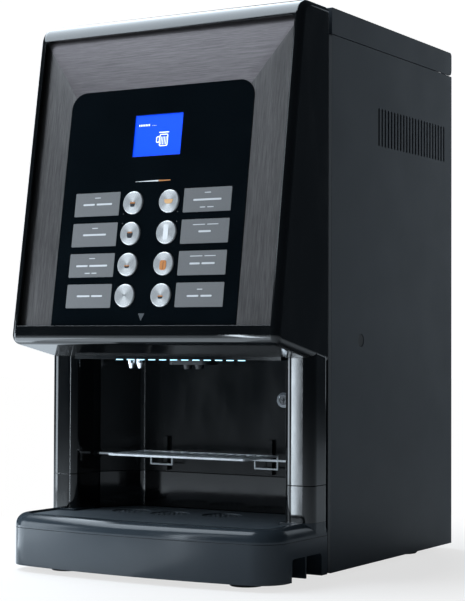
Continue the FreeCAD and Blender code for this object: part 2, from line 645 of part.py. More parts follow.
# ------------------------------------------------------------------ drip base
def base_skirt():
    outer = base_block(0.0, PANEL_GROUND_GAP, RIM_BOTTOM - FIT_GAP)
    inner = base_block(MOULDING, PANEL_GROUND_GAP - 1, RIM_BOTTOM + 1)
    shell = outer.cut(inner)
    y0 = Y_FRONT + HAND_FRONT
    y1 = y0 + HAND_LENGTH
    wall = LINER_WALL
    pocket = box(X_SIDE - HAND_DEPTH - wall, X_SIDE - 1, y0 - wall, y1 + wall, PANEL_GROUND_GAP, HAND_TOP + wall)
    hollow = profile_bar([(y0, PANEL_GROUND_GAP - 1, 0), (y1, PANEL_GROUND_GAP - 1, 0),
                          (y1, HAND_TOP, 6), (y0, HAND_TOP, 6)], X_SIDE - HAND_DEPTH, X_SIDE + 1)
    rib_y = (y0 + y1) / 2 + 3
    rib = box(X_SIDE - HAND_DEPTH - wall, X_SIDE - 4, rib_y, rib_y + 3, PANEL_GROUND_GAP, HAND_TOP + wall)
    shell = fused([shell] + pair_of(pocket)).cut(pair_of(hollow))
    return fused([shell] + pair_of(rib))


def base_rim():
    block = base_block(0.0, RIM_BOTTOM, BASE_TOP)
    top_edges = []
    for edge in block.Edges:
        middle = edge.valueAt((edge.FirstParameter + edge.LastParameter) / 2)
        at_top = abs(edge.Vertexes[0].Z - BASE_TOP) < 1e-6 and abs(edge.Vertexes[-1].Z - BASE_TOP) < 1e-6
        if at_top and middle.y < DOOR_BACK - 1:
            top_edges.append(edge)
    block = block.makeFillet(RIM_EDGE_RADIUS, top_edges)
    floor = slab(niche_outline(-0.5, DOOR_BACK - 1), RIM_BOTTOM, LEDGE_Z)
    pedestal = slab(column_outline(0.0, HINGE_RADIUS), RIM_BOTTOM, BASE_TOP)
    block = block.fuse([floor] + pair_of(pedestal))
    opening = slab(tray_opening(0.0), LEDGE_Z, BASE_TOP + 1)
    basin_hole = slab(basin_outline(1.0), RIM_BOTTOM - 1, LEDGE_Z + 1)
    return block.cut([opening, basin_hole]).removeSplitter()


def basin_outline(grow):
    """Plan of the drip basin's walls."""
    side = COLUMN_INNER - 12.0 + grow
    front = Y_FRONT + RIM_BAND + BASE_BOW + 12 - grow
    rear = NICHE_BACK - 14 + grow
    slant = NICHE_CORNER_RUN * 0.75
    return [(-side, front, 10), (side, front, 10), (side, rear - slant * 1.45, 0),
            (side - slant, rear, 6), (-side + slant, rear, 6), (-side, rear - slant * 1.45, 0)]


def drip_basin():
    outer = slab(basin_outline(0.0), BASIN_FLOOR, LEDGE_Z + 1)
    inner = slab(basin_outline(-LINER_WALL), BASIN_FLOOR + LINER_WALL, LEDGE_Z + 5)
    lip = slab(basin_outline(4.0), LEDGE_Z, LEDGE_Z + BASIN_LIP)
    return fused([outer.fuse(lip).cut(inner)])


def drip_plate():
    """Top plate that stands on its own rim, with three round gratings."""
    skirt_low = LEDGE_Z + BASIN_LIP
    outer = slab(tray_opening(1.5), skirt_low, PLATE_TOP)
    inner = slab(tray_opening(1.5 + LINER_WALL), skirt_low - 1, PLATE_TOP - PLATE_SHEET)
    plate = outer.cut(inner)
    cutters = []
    for x, setback in GRATES:
        y = DOOR_BACK + setback
        cutters.append(Part.makeCylinder(GRATE_RADIUS, 2, V(x, y, PLATE_TOP - 1.2)))
        for ring in range(1, 4):
            for i in range(6 * ring):
                turn = math.radians(60.0 * i / ring)
                hx = x + 7.2 * ring * math.cos(turn)
                hy = y + 7.2 * ring * math.sin(turn)
                cutters.append(Part.makeCylinder(2.4, 10, V(hx, hy, PLATE_TOP - 6)))
    return plate.cut(cutters)


def column_outline(inset, hinge_corner=0.0):
    x0, x1 = COLUMN_INNER + inset, X_SIDE - inset
    y0, y1 = COLUMN_FRONT + inset, DOOR_BACK - inset
    corner = max(COLUMN_RADIUS - inset, 1.0)
    rear = max(hinge_corner - inset, 0.0)
    return [(x0, y0, corner), (x1, y0, corner), (x1, y1, rear), (x0, y1, 0)]


def column(z0, z1, closed_from, closed_to, corner):
    """A hollow column for the right side, solid between two heights."""
    tube = slab(column_outline(0.0, corner), z0, z1)
    bore = slab(column_outline(MOULDING, corner), z0 - 1, z1 + 1)
    plug = slab(column_outline(MOULDING - 0.5, corner), closed_from, closed_to)
    return tube.cut(bore).fuse(plug)


def niche_base():
    """Fixed lower part of the niche: two column feet and the low rear wall."""
    top = DOOR_BOTTOM - DOOR_GAP
    foot = column(BASE_TOP, top, top - 22, top, HINGE_RADIUS)
    wall = niche_wall(LEDGE_Z, top)
    pin_hole = rod((HINGE_X, HINGE_Y, DOOR_BOTTOM - 22), (HINGE_X, HINGE_Y, DOOR_BOTTOM + 1), PIN_RADIUS)
    return fused(pair_of(foot) + [wall]).cut(pin_hole)


def niche_wall(z0, z1):
    outer = slab(niche_outline(LINER_WALL, DOOR_BACK), z0, z1)
    inner = slab(niche_outline(0.0, DOOR_BACK - 5), z0 - 1, z1 + 1)
    return outer.cut(inner)


# ------------------------------------------------------------------------ door
def hood_block():
    block = profile_bar(hood_outline(0.0, 0.0, DOOR_BACK), -X_SIDE, X_SIDE)
    side_edges = []
    rear_edge = []
    for edge in block.Edges:
        middle = edge.valueAt((edge.FirstParameter + edge.LastParameter) / 2)
        ends_x = [v.X for v in edge.Vertexes]
        flat_side = max(ends_x) - min(ends_x) < 1e-6
        if flat_side and middle.y < DOOR_BACK - 1 and middle.z > FACE_BOTTOM_Z - CHIN_HEIGHT + 4:
            side_edges.append(edge)
        if flat_side and abs(middle.y - DOOR_BACK) < 1e-6 and ends_x[0] < 0:
            rear_edge.append(edge)
    block = block.makeFillet(FRAME_EDGE_RADIUS, side_edges)
    corner = box(-X_SIDE - 1, HINGE_X, HINGE_Y, DOOR_BACK + 1, 0, HEIGHT + 1)
    corner = corner.cut(rod((HINGE_X, HINGE_Y, -1), (HINGE_X, HINGE_Y, HEIGHT + 2), HINGE_RADIUS))
    return block.cut(corner)


def door_frame():
    block = hood_block()
    hollow = profile_bar(hood_outline(RIM_PROUD, MOULDING, DOOR_BACK + 10), -X_SIDE + MOULDING,
                         X_SIDE - MOULDING)
    half = X_SIDE - FRAME_SIDE_BAND
    window = on_face(panel([(-half, 0, 0), (half, 0, 0), (half, FACE_LENGTH, 6), (-half, FACE_LENGTH, 6)],
                           -40, 5))
    ceiling = box(-COLUMN_INNER + 0.2, COLUMN_INNER - 0.2, COLUMN_FRONT - 3, DOOR_BACK + 1,
                  CEILING_Z - 20, CEILING_Z + 20)
    slot = box(-X_SIDE - 1, HINGE_X + 4, HINGE_Y - 9, DOOR_BACK + 1,
               HINGE_ARM_Z - 1, HINGE_ARM_Z + HINGE_ARM + 1)
    shell = block.cut([hollow, window, ceiling, slot])
    boss_low = HINGE_ARM_Z + HINGE_ARM + 1
    boss = box(-X_SIDE + MOULDING - 0.5, HINGE_X + 9, HINGE_Y - 9, HINGE_Y + 4, boss_low, boss_low + 20)
    bore = rod((HINGE_X, HINGE_Y, boss_low - 1), (HINGE_X, HINGE_Y, boss_low + 14),
               PIN_RADIUS + PIN_CLEARANCE)
    return fused([shell, boss]).cut(bore)


def button_places():
    places = []
    for row in range(ROWS):
        for side in (-1, 1):
            places.append((side * BUTTON_OFFSET, FIRST_ROW + row * ROW_PITCH))
    return places


def label_places():
    return [(side * LABEL_OFFSET, FIRST_ROW + row * ROW_PITCH) for row in range(ROWS) for side in (-1, 1)]


def glass_outline(gap):
    half = GLASS_HALF - gap
    return [(-half, gap, 0), (half, gap, 0), (half, GLASS_HEIGHT - gap, GLASS_RADIUS),
            (-half, GLASS_HEIGHT - gap, GLASS_RADIUS)]


def bezel():
    """Brushed sheet around the glass, open at the bottom, clamped behind the frame's rim."""
    half = X_SIDE - MOULDING - 1.5
    sheet = panel([(-half, 0, 0), (half, 0, 0), (half, FACE_LENGTH + 3, 4), (-half, FACE_LENGTH + 3, 4)],
                  0.0, BEZEL_THICKNESS)
    edge = GLASS_HALF + FIT_GAP
    head = GLASS_HEIGHT + FIT_GAP
    window = panel([(-edge, -5, 0), (edge, -5, 0), (edge, head, GLASS_RADIUS + FIT_GAP),
                    (-edge, head, GLASS_RADIUS + FIT_GAP)], -5, 5)
    return on_face(sheet.cut(window))


def glass():
    plate = panel(glass_outline(0.0), -GLASS_PROUD, GLASS_THICKNESS - GLASS_PROUD)
    screen = panel(rectangle(-SCREEN_WIDTH / 2, SCREEN_WIDTH / 2, SCREEN_CENTRE - SCREEN_HEIGHT / 2,
                             SCREEN_CENTRE + SCREEN_HEIGHT / 2), -5, 8)
    holes = [rod((x, -5, z), (x, 8, z), BUTTON_RADIUS + BUTTON_HOLE_GAP) for x, z in button_places()]
    pockets = [panel(rectangle(x - LABEL_WIDTH / 2 - 0.2, x + LABEL_WIDTH / 2 + 0.2,
                               z - LABEL_HEIGHT / 2 - 0.2, z + LABEL_HEIGHT / 2 + 0.2, 1),
                     -5, LABEL_THICKNESS - GLASS_PROUD) for x, z in label_places()]
    return on_face(plate.cut([screen] + holes + pockets))


def display():
    face = SCREEN_RECESS - GLASS_PROUD
    z0, z1 = SCREEN_CENTRE - SCREEN_HEIGHT / 2, SCREEN_CENTRE + SCREEN_HEIGHT / 2
    screen = panel(rectangle(-SCREEN_WIDTH / 2 + 0.2, SCREEN_WIDTH / 2 - 0.2, z0 + 0.2, z1 - 0.2),
                   face, 4)
    housing = panel(rectangle(-SCREEN_WIDTH / 2 - 6, SCREEN_WIDTH / 2 + 6, z0 - 6, z1 + 6, 2),
                    GLASS_THICKNESS - 0.4, 12)
    return on_face(fused([screen, housing]))


def label_plates():
    plates = []
    for x, z in label_places():
        plate = panel(rectangle(x - LABEL_WIDTH / 2, x + LABEL_WIDTH / 2, z - LABEL_HEIGHT / 2,
                                z + LABEL_HEIGHT / 2, 1), -0.75, LABEL_THICKNESS - GLASS_PROUD)
        plates.append(on_face(plate))
    return plates


def keypad_board():
    """Circuit board behind the buttons, with one switch block for each."""
    board = panel(rectangle(-60, 60, 15, FIRST_ROW + ROW_PITCH * ROWS - 15, 3),
                  KEYPAD_SETBACK, KEYPAD_SETBACK + 2)
    blocks = [rod((x, KEYPAD_SETBACK - 3, z), (x, KEYPAD_SETBACK + 1, z), 5.0) for x, z in button_places()]
    return on_face(fused([board] + blocks))


def button(x, z):
    """Round cap with a domed face, a skirt and a stem down to its switch."""
    front = -GLASS_PROUD - BUTTON_PROUD
    cap = rod((x, front, z), (x, 6, z), BUTTON_RADIUS)
    cap = cap.makeFillet(1.4, [e for e in cap.Edges if abs(e.Vertexes[0].Y - front) < 1e-6
                               and e.Closed])
    hollow = rod((x, front + 2.5, z), (x, 7, z), BUTTON_RADIUS - 1.6)
    stem_end = KEYPAD_SETBACK - 3 - BUTTON_TRAVEL - 0.4
    stem = rod((x, front + 1, z), (x, stem_end, z), BUTTON_STEM)
    return on_face(fused([cap.cut(hollow), stem]))


def door_back():
    """Sheet that closes the back of the hood."""
    x0, x1 = HINGE_X + 12, X_SIDE - MOULDING - 1
    return panel(rectangle(x0, x1, CEILING_Z + 8, HEIGHT - MOULDING - 1, 2), DOOR_BACK - 2, DOOR_BACK)


def door_columns():
    hood = hood_block()
    right = column(DOOR_BOTTOM, CEILING_Z + 16, DOOR_BOTTOM, DOOR_BOTTOM + 12, HINGE_RADIUS)
    left = mirrored(right)
    left = left.cut(rod((HINGE_X, HINGE_Y, DOOR_BOTTOM - 1), (HINGE_X, HINGE_Y, DOOR_BOTTOM + 12.5),
                        PIN_RADIUS + PIN_CLEARANCE))
    return [left.cut(hood), right.cut(hood)]


def niche_liner():
    """Walls and ceiling of the cup niche above the seam, with the two shelf rails."""
    wall = niche_wall(DOOR_BOTTOM, CEILING_Z + LINER_WALL)
    half = COLUMN_INNER - FIT_GAP
    ceiling = slab(niche_outline(0.5, DOOR_BACK), CEILING_Z, CEILING_Z + LINER_WALL)
    front = box(-half, half, COLUMN_FRONT - 2.6, DOOR_BACK, CEILING_Z, CEILING_Z + LINER_WALL)
    lip = box(-half, half, COLUMN_FRONT - 2.6, COLUMN_FRONT, CEILING_Z, CEILING_Z + 7)
    rail = box(LOOP_OFFSET - RAIL_WIDTH / 2, LOOP_OFFSET + RAIL_WIDTH / 2, NICHE_BACK - 6, NICHE_BACK + 1,
               RAIL_BOTTOM, RAIL_TOP)
    boss = rod((COLUMN_INNER - 6, PIVOT_Y, SHELF_Z), (COLUMN_INNER + 1, PIVOT_Y, SHELF_Z), 6.0)
    boss = boss.cut(rod((COLUMN_INNER - 7, PIVOT_Y, SHELF_Z), (COLUMN_INNER - 1, PIVOT_Y, SHELF_Z),
                        SHELF_WIRE + RUNNING_CLEARANCE))
    body = fused([wall, ceiling, front, lip] + pair_of(rail) + pair_of(boss))
    y = NICHE_BACK
    holes = [rod((LOCK_X, y - 5, LOCK_Z), (LOCK_X, y + 10, LOCK_Z), LOCK_RADIUS - 1)]
    holes.append(slab(rectangle(-HEAD_HALF + 4, HEAD_HALF - 4, HEAD_Y - 14, HEAD_Y + 14, 4),
                      CEILING_Z - 1, CEILING_Z + 5))
    for x in NOZZLES:
        holes.append(rod((x, HEAD_Y, CEILING_Z - 1), (x, HEAD_Y, CEILING_Z + 5), 3.5))
    for x in led_places():
        holes.append(box(x - LED_LENGTH / 2, x + LED_LENGTH / 2, LED_Y - 2, LED_Y + 2,
                         CEILING_Z - 1, CEILING_Z + 5))
    return body.cut(holes)


def led_places():
    return [(i - (LED_COUNT - 1) / 2) * LED_PITCH for i in range(LED_COUNT)]


def led_lenses():
    return [slab(rectangle(x - LED_LENGTH / 2 + 0.1, x + LED_LENGTH / 2 - 0.1, LED_Y - 1.9, LED_Y + 1.9, 1.5),
                 CEILING_Z - 1.2, CEILING_Z + LINER_WALL) for x in led_places()]


def coffee_head():
    """Twin-spout coffee outlet under the ceiling."""
    body = slab(rectangle(-HEAD_HALF, HEAD_HALF, HEAD_Y - 18, HEAD_Y + 18, 8), CEILING_Z - 7, CEILING_Z)
    neck = slab(rectangle(-HEAD_HALF + 4.3, HEAD_HALF - 4.3, HEAD_Y - 13.7, HEAD_Y + 13.7, 3.7),
                CEILING_Z - 1, CEILING_Z + 7)
    well = slab(rectangle(-HEAD_HALF + 7, HEAD_HALF - 7, HEAD_Y - 11, HEAD_Y + 11, 3),
                CEILING_Z - 1, CEILING_Z + 23)
    spouts = [Part.makeCone(5.0, 6.5, 6, V(x, HEAD_Y, CEILING_Z - 13)) for x in (-SPOUT_OFFSET, SPOUT_OFFSET)]
    bores = [Part.makeCylinder(3.0, 20, V(x, HEAD_Y, CEILING_Z - 14)) for x in (-SPOUT_OFFSET, SPOUT_OFFSET)]
    return fused([body, neck] + spouts).cut([well] + bores)


def hot_water_nozzles():
    group = []
    for x in NOZZLES:
        tip = Part.makeCone(3.6, 6.0, 7, V(x, HEAD_Y, CEILING_Z - 12.5))
        collar = Part.makeCylinder(6.0, 5.5, V(x, HEAD_Y, CEILING_Z - 5.5))
        pipe = Part.makeCylinder(3.4, 8, V(x, HEAD_Y, CEILING_Z - 1))
        bore = Part.makeCylinder(2.2, 40, V(x, HEAD_Y, CEILING_Z - 14))
        group.append(fused([tip, collar, pipe]).cut(bore))
    return group


def lock_barrel():
    y = NICHE_BACK
    ring = rod((LOCK_X, y - 3, LOCK_Z), (LOCK_X, y, LOCK_Z), LOCK_RADIUS)
    body = rod((LOCK_X, y - 1, LOCK_Z), (LOCK_X, y + 9, LOCK_Z), LOCK_RADIUS - 1.1)
    bore = rod((LOCK_X, y - 4, LOCK_Z), (LOCK_X, y + 10, LOCK_Z), LOCK_PLUG_RADIUS + RUNNING_CLEARANCE)
    return fused([ring, body]).cut(bore)


def lock_plug():
    """Key plug and the cam behind it. The cam hangs down when the door is free."""
    y = NICHE_BACK
    plug = rod((LOCK_X, y - 2.6, LOCK_Z), (LOCK_X, y + 9.5, LOCK_Z), LOCK_PLUG_RADIUS)
    keyway = box(LOCK_X - 0.6, LOCK_X + 0.6, y - 4, y + 3, LOCK_Z - 3.5, LOCK_Z + 3.5)
    cam = panel([(LOCK_X - 7, LOCK_Z - 30, 3), (LOCK_X + 7, LOCK_Z - 30, 3),
                 (LOCK_X + 7, LOCK_Z + 7, 5), (LOCK_X - 7, LOCK_Z + 7, 5)], y + 9.5, y + 11.5)
    return fused([plug.cut(keyway), cam])


def cup_shelf():
    """Wire cup shelf: a framed grid, a pivot wire and two rear support loops."""
    r = SHELF_WIRE
    front, rear = PIVOT_Y - SHELF_FRONT, PIVOT_Y + SHELF_REAR
    half = SHELF_HALF
    z = SHELF_Z
    wires = [rod((-COLUMN_INNER + 2, PIVOT_Y, z), (COLUMN_INNER - 2, PIVOT_Y, z), r)]
    top = z + 2 * r - 0.3
    wires.append(tube_run([(-half, front, top), (-half, rear, top), (half, rear, top), (half, front, top)], r))
    wires.append(rod((-half, front, top), (half, front, top), r))
    for i in range(1, SHELF_WIRES - 1):
        x = -half + 2 * half * i / (SHELF_WIRES - 1)
        wires.append(rod((x, front, top), (x, rear, top), 1.0))
    low = z - LOOP_DROP
    for side in (-1, 1):
        xa = side * LOOP_OFFSET - LOOP_WIDTH / 2
        xb = side * LOOP_OFFSET + LOOP_WIDTH / 2
        y = PIVOT_Y + LOOP_REACH
        wires.append(tube_run([(xa, rear, top), (xa, y, top), (xa, y, low), (xb, y, low), (xb, y, top),
                               (xb, rear, top)], 1.2))
    return fused(wires)


# ------------------------------------------------------- inside of the cabinet
def bulkhead():
    """Upright sheet behind the food zone, with the shelf that carries the canisters."""
    inner = X_SIDE - 14.0
    sheet = box(-inner, inner, BULKHEAD_Y, BULKHEAD_Y + FRAME_SHEET, FOOT_HEIGHT + FRAME_SHEET, CANISTER_TOP)
    holes = [rod((x, BULKHEAD_Y - 5, AUGER_Z), (x, BULKHEAD_Y + 5, AUGER_Z), AUGER_SHAFT + 2)
             for x in BAY_CENTRES[1:]]
    holes.append(box(-30, 30, BULKHEAD_Y - 5, BULKHEAD_Y + 5, 230, 290))
    return fused([sheet.cut(holes), canister_shelf()])


def canister_shelf():
    inner = X_SIDE - 14.0
    deck = box(-inner, inner, FRAME_BACK + 4, BULKHEAD_Y, DECK_Z, DECK_Z + FRAME_SHEET)
    fold = box(-inner, inner, BULKHEAD_Y - FRAME_SHEET, BULKHEAD_Y, DECK_Z, DECK_Z + 5)
    mouth = slab(bowl_mouth(5.0), DECK_Z - 5, DECK_Z + 5)
    throat = Part.makeCylinder(30, 20, V(HOPPER_X, HOPPER_Y, DECK_Z - 5))
    return fused([deck, fold]).cut([mouth, throat])


def bean_hopper():
    """A straight bin on a funnel that narrows to the grinder's throat."""
    x = HOPPER_X
    half = BAY_HALF
    wall = CANISTER_WALL
    throat = 28.0
    seam = DECK_Z + 42

    def bin_box(inset):
        return box(x - half + inset, x + half - inset, CAN_FRONT + inset, CAN_BACK - inset, seam, CANISTER_TOP)

    def funnel(inset):
        upper = rounded_wire(rectangle(x - half + inset, x + half - inset, CAN_FRONT + inset,
                                       CAN_BACK - inset, 1))
        upper.translate(V(0, 0, seam))
        lower = rounded_wire(rectangle(x - throat + inset, x + throat - inset, HOPPER_Y - throat + inset,
                                       HOPPER_Y + throat - inset, 1))
        lower.translate(V(0, 0, DECK_Z + FRAME_SHEET + 8))
        return Part.makeLoft([lower, upper], True, True)

    neck = Part.makeCylinder(throat - 1, 10, V(x, HOPPER_Y, DECK_Z + 0.5))
    hole = Part.makeCylinder(throat - 1 - wall, 40, V(x, HOPPER_Y, DECK_Z - 5))
    bin_walls = bin_box(0.0).cut(bin_box(wall))
    return [bin_walls, funnel(0.0).fuse(neck).cut([funnel(wall), hole])]


def powder_canisters():
    """Two powder canisters, each with an auger trough and a nose over the mixing bowl."""
    group = []
    wall = CANISTER_WALL
    trough = AUGER_RADIUS + AUGER_GAP
    for x in BAY_CENTRES[1:]:
        half = BAY_HALF
        shoulder = AUGER_Z + 40
        outer = panel([(x - trough - wall, CANISTER_FLOOR, 8), (x + trough + wall, CANISTER_FLOOR, 8),
                       (x + trough + wall, AUGER_Z, 0), (x + half, shoulder, 0), (x + half, CANISTER_TOP, 0),
                       (x - half, CANISTER_TOP, 0), (x - half, shoulder, 0), (x - trough - wall, AUGER_Z, 0)],
                      CAN_FRONT, CAN_BACK)
        inner = panel([(x + trough, AUGER_Z, 0), (x + half - wall, shoulder, 0),
                       (x + half - wall, CANISTER_TOP + 5, 0), (x - half + wall, CANISTER_TOP + 5, 0),
                       (x - half + wall, shoulder, 0), (x - trough, AUGER_Z, 0)],
                      CAN_FRONT + wall, CAN_BACK - wall)
        channel = rod((x, CAN_FRONT + wall, AUGER_Z), (x, CAN_BACK - wall, AUGER_Z), trough)
        nose = rod((x, CAN_FRONT - 16, AUGER_Z), (x, CAN_FRONT + 1, AUGER_Z), trough + wall)
        nose_bore = rod((x, CAN_FRONT - 14, AUGER_Z), (x, CAN_FRONT + 5, AUGER_Z), trough)
        drop = box(x - 12, x + 12, CAN_FRONT - 13, CAN_FRONT - 2, CANISTER_FLOOR - 5, AUGER_Z)
        shaft_hole = rod((x, CAN_BACK - 5, AUGER_Z), (x, CAN_BACK + 5, AUGER_Z), AUGER_SHAFT + 0.5)
        group.append(outer.fuse(nose).cut([inner, channel, nose_bore, drop, shaft_hole]).removeSplitter())
    return group


def canister_lids():
    group = []
    for x in BAY_CENTRES:
        half = BAY_HALF + 1.5
        cap = box(x - half, x + half, CAN_FRONT - 1.5, CAN_BACK + 1.5, CANISTER_TOP - 8, CANISTER_TOP + 3)
        inside = box(x - half + 1.2, x + half - 1.2, CAN_FRONT - 0.3, CAN_BACK + 0.3,
                     CANISTER_TOP - 9, CANISTER_TOP)
        grip = box(x - 15, x + 15, CAN_FRONT + 40, CAN_FRONT + 44, CANISTER_TOP + 2, CANISTER_TOP + 9)
        group.append(fused([cap.cut(inside), grip]))
    return group


def auger(x):
    """Shaft with stepped half-round blades that push the powder forward."""
    start, end = CAN_FRONT - 12.0, BULKHEAD_Y + 14.0
    pieces = [rod((x, start, AUGER_Z), (x, end, AUGER_Z), AUGER_SHAFT)]
    blades = 14
    pitch = (CAN_BACK - 8 - (CAN_FRONT - 8)) / blades
    for i in range(blades):
        y = CAN_FRONT - 8 + i * pitch
        blade = Part.makeCylinder(AUGER_RADIUS, 3, V(x, y, AUGER_Z), V(0, 1, 0), 180)
        blade.rotate(V(x, y, AUGER_Z), V(0, 1, 0), 90 * i)
        pieces.append(blade)
    return fused(pieces)


def drive_motors():
    """Two auger gear motors behind the bulkhead, the whipper motor and the grinder motor."""
    group = []
    for x in BAY_CENTRES[1:]:
        y = BULKHEAD_Y + FRAME_SHEET
        gearbox = box(x - 22, x + 22, y, y + 24, AUGER_Z - 30, AUGER_Z + 18)
        can = rod((x, y + 24, AUGER_Z - 12), (x, y + 58, AUGER_Z - 12), 15)
        bore = rod((x, y - 1, AUGER_Z), (x, y + 16, AUGER_Z), AUGER_SHAFT + RUNNING_CLEARANCE)
        group.append(fused([gearbox, can]).cut(bore))
    body = Part.makeCylinder(19, 40, V(BOWL_X, BOWL_Y, WHIP_Z - 56))
    bore = Part.makeCylinder(WHIP_SHAFT + RUNNING_CLEARANCE, 20, V(BOWL_X, BOWL_Y, WHIP_Z - 34))
    group.append(body.cut(bore))
    x = HOPPER_X
    group.append(Part.makeCylinder(32, 60, V(x, HOPPER_Y, GRINDER_Z - 62)).cut(
        Part.makeCylinder(4.0 + RUNNING_CLEARANCE, 20, V(x, HOPPER_Y, GRINDER_Z - 20))))
    return group


def bowl_mouth(grow):
    """Plan of the bowl's mouth, which reaches past both canister outlets."""
    left = BAY_CENTRES[1] - BOWL_MARGIN - grow
    right = BAY_CENTRES[2] + BOWL_MARGIN + grow
    return rectangle(left, right, FRAME_BACK + 8 - grow, FRAME_BACK + 60 + grow, 12 + min(grow, 0.0))


def mixing_bowl():
    """A wide mouth band on a funnel, over the round chamber where the whipper turns."""
    wall = 2.5
    seam = DECK_Z - 16

    def funnel(inset):
        upper = rounded_wire(bowl_mouth(-inset))
        upper.translate(V(0, 0, seam))
        size = WHIP_RADIUS + 5 - inset
        lower = rounded_wire(rectangle(BOWL_X - size, BOWL_X + size, BOWL_Y - size, BOWL_Y + size, size * 0.9))
        lower.translate(V(0, 0, WHIP_Z + 18))
        return Part.makeLoft([lower, upper], True, True)

    chamber = Part.makeCylinder(WHIP_RADIUS + 5, 38, V(BOWL_X, BOWL_Y, WHIP_Z - 16))
    room = Part.makeCylinder(WHIP_RADIUS + 2.5, 36, V(BOWL_X, BOWL_Y, WHIP_Z - 12))
    shaft_hole = Part.makeCylinder(WHIP_SHAFT + 0.5, 20, V(BOWL_X, BOWL_Y, WHIP_Z - 25))
    spout = rod((BOWL_X, BOWL_Y, WHIP_Z - 4), (BOWL_X, BOWL_Y - 32, WHIP_Z - 14), 6)
    spout_bore = rod((BOWL_X, BOWL_Y - 10, WHIP_Z - 7), (BOWL_X, BOWL_Y - 40, WHIP_Z - 16.5), 4)
    band = slab(bowl_mouth(0.0), seam, DECK_Z - 4).cut(slab(bowl_mouth(-wall), seam - 1, DECK_Z))
    body = funnel(0.0).fuse([chamber, spout])
    return [band, body.cut([funnel(wall), room, shaft_hole, spout_bore])]


def whipper():
    pieces = [Part.makeCylinder(WHIP_SHAFT, 40, V(BOWL_X, BOWL_Y, WHIP_Z - 30))]
    pieces.append(Part.makeCylinder(WHIP_RADIUS, 2, V(BOWL_X, BOWL_Y, WHIP_Z - 8)))
    for i in range(6):
        blade = box(BOWL_X, BOWL_X + WHIP_RADIUS - 0.5, BOWL_Y - 0.8, BOWL_Y + 0.8, WHIP_Z - 7, WHIP_Z + 6)
        blade.rotate(V(BOWL_X, BOWL_Y, 0), V(0, 0, 1), 60 * i)
        pieces.append(blade)
    return fused(pieces)


def grinder():
    x = HOPPER_X
    top = DECK_Z
    body = Part.makeCylinder(40, top - GRINDER_Z, V(x, HOPPER_Y, GRINDER_Z))
    room = Part.makeCylinder(BURR_RADIUS + 3, top - GRINDER_Z, V(x, HOPPER_Y, GRINDER_Z + 12))
    shaft = Part.makeCylinder(5.0, 30, V(x, HOPPER_Y, GRINDER_Z - 5))
    chute = box(x - 12, x + 12, HOPPER_Y + 25, HOPPER_Y + 62, GRINDER_Z + 12, GRINDER_Z + 40)
    chute_bore = box(x - 9, x + 9, HOPPER_Y + 15, HOPPER_Y + 59, GRINDER_Z + 11, GRINDER_Z + 37)
    return body.fuse(chute).cut([room, shaft, chute_bore]).removeSplitter()


def grinder_burr():
    x = HOPPER_X
    cone = Part.makeCone(BURR_RADIUS, 14, 22, V(x, HOPPER_Y, GRINDER_Z + 16))
    shaft = Part.makeCylinder(4.0, 50, V(x, HOPPER_Y, GRINDER_Z - 18))
    grooves = []
    for i in range(BURR_GROOVES):
        groove = box(x + 8, x + BURR_RADIUS + 2, HOPPER_Y - 1.5, HOPPER_Y + 1.5, GRINDER_Z + 18, GRINDER_Z + 40)
        groove.rotate(V(x, HOPPER_Y, 0), V(0, 0, 1), 360 / BURR_GROOVES * i)
        grooves.append(groove)
    return fused([cone.cut(grooves), shaft])


def brew_unit():
    body = box(BREW_X - 38, BREW_X + 38, BREW_Y - 44, BREW_Y + 60, BREW_LOW, BREW_HIGH)
    window = box(BREW_X - 32, BREW_X + 32, BREW_Y - 50, BREW_Y - 30, BREW_LOW + 10, BREW_HIGH - 10)
    chamber = Part.makeCylinder(PISTON_RADIUS + 0.3, BREW_HIGH, V(BREW_X, BREW_Y, BREW_LOW + 40))
    rod_hole = Part.makeCylinder(6.3, 60, V(BREW_X, BREW_Y, BREW_LOW - 5))
    return body.cut([window, chamber, rod_hole])


def brew_piston():
    head = Part.makeCylinder(PISTON_RADIUS, 16, V(BREW_X, BREW_Y, BREW_LOW + 44))
    stem = Part.makeCylinder(6.0, 50, V(BREW_X, BREW_Y, BREW_LOW - 2))
    return fused([head, stem])


def boiler():
    seat = 50.0
    tank = Part.makeCylinder(BOILER_RADIUS, BOILER_HEIGHT, V(BOILER_X, BOILER_Y, seat))
    dome = tank.makeFillet(14, [tank.Edges[0], tank.Edges[2]])
    stand = box(BOILER_X - 30, BOILER_X + 30, BOILER_Y - 30, BOILER_Y + 30, FOOT_HEIGHT + FRAME_SHEET, seat + 4)
    fitting = Part.makeCylinder(6, 22, V(BOILER_X, BOILER_Y, seat + BOILER_HEIGHT - 4))
    return fused([dome, stand, fitting])


def pump():
    x, y, z = PUMP_X, PUMP_Y, PUMP_Z
    body = rod((x, y - 34, z), (x, y + 34, z), PUMP_RADIUS)
    head = rod((x, y - 56, z), (x, y - 34, z), 14)
    bracket = box(x - 24, x + 24, y - 20, y + 20, FOOT_HEIGHT + FRAME_SHEET, z - 12)
    return fused([body, head, bracket])


def water_tank():
    wall = CANISTER_WALL
    right = TANK_LEFT + TANK_WIDTH
    front, rear = BULKHEAD_Y + 14, Y_REAR - 40
    outer = box(TANK_LEFT, right, front, rear, TANK_LOW, TANK_LOW + TANK_HEIGHT)
    inner = box(TANK_LEFT + wall, right - wall, front + wall, rear - wall, TANK_LOW + wall,
                TANK_LOW + TANK_HEIGHT + 10)
    outlet = Part.makeCylinder(5, 14, V(TANK_X, TANK_OUTLET_Y, TANK_LOW - 12))
    return fused([outer.cut(inner), outlet])


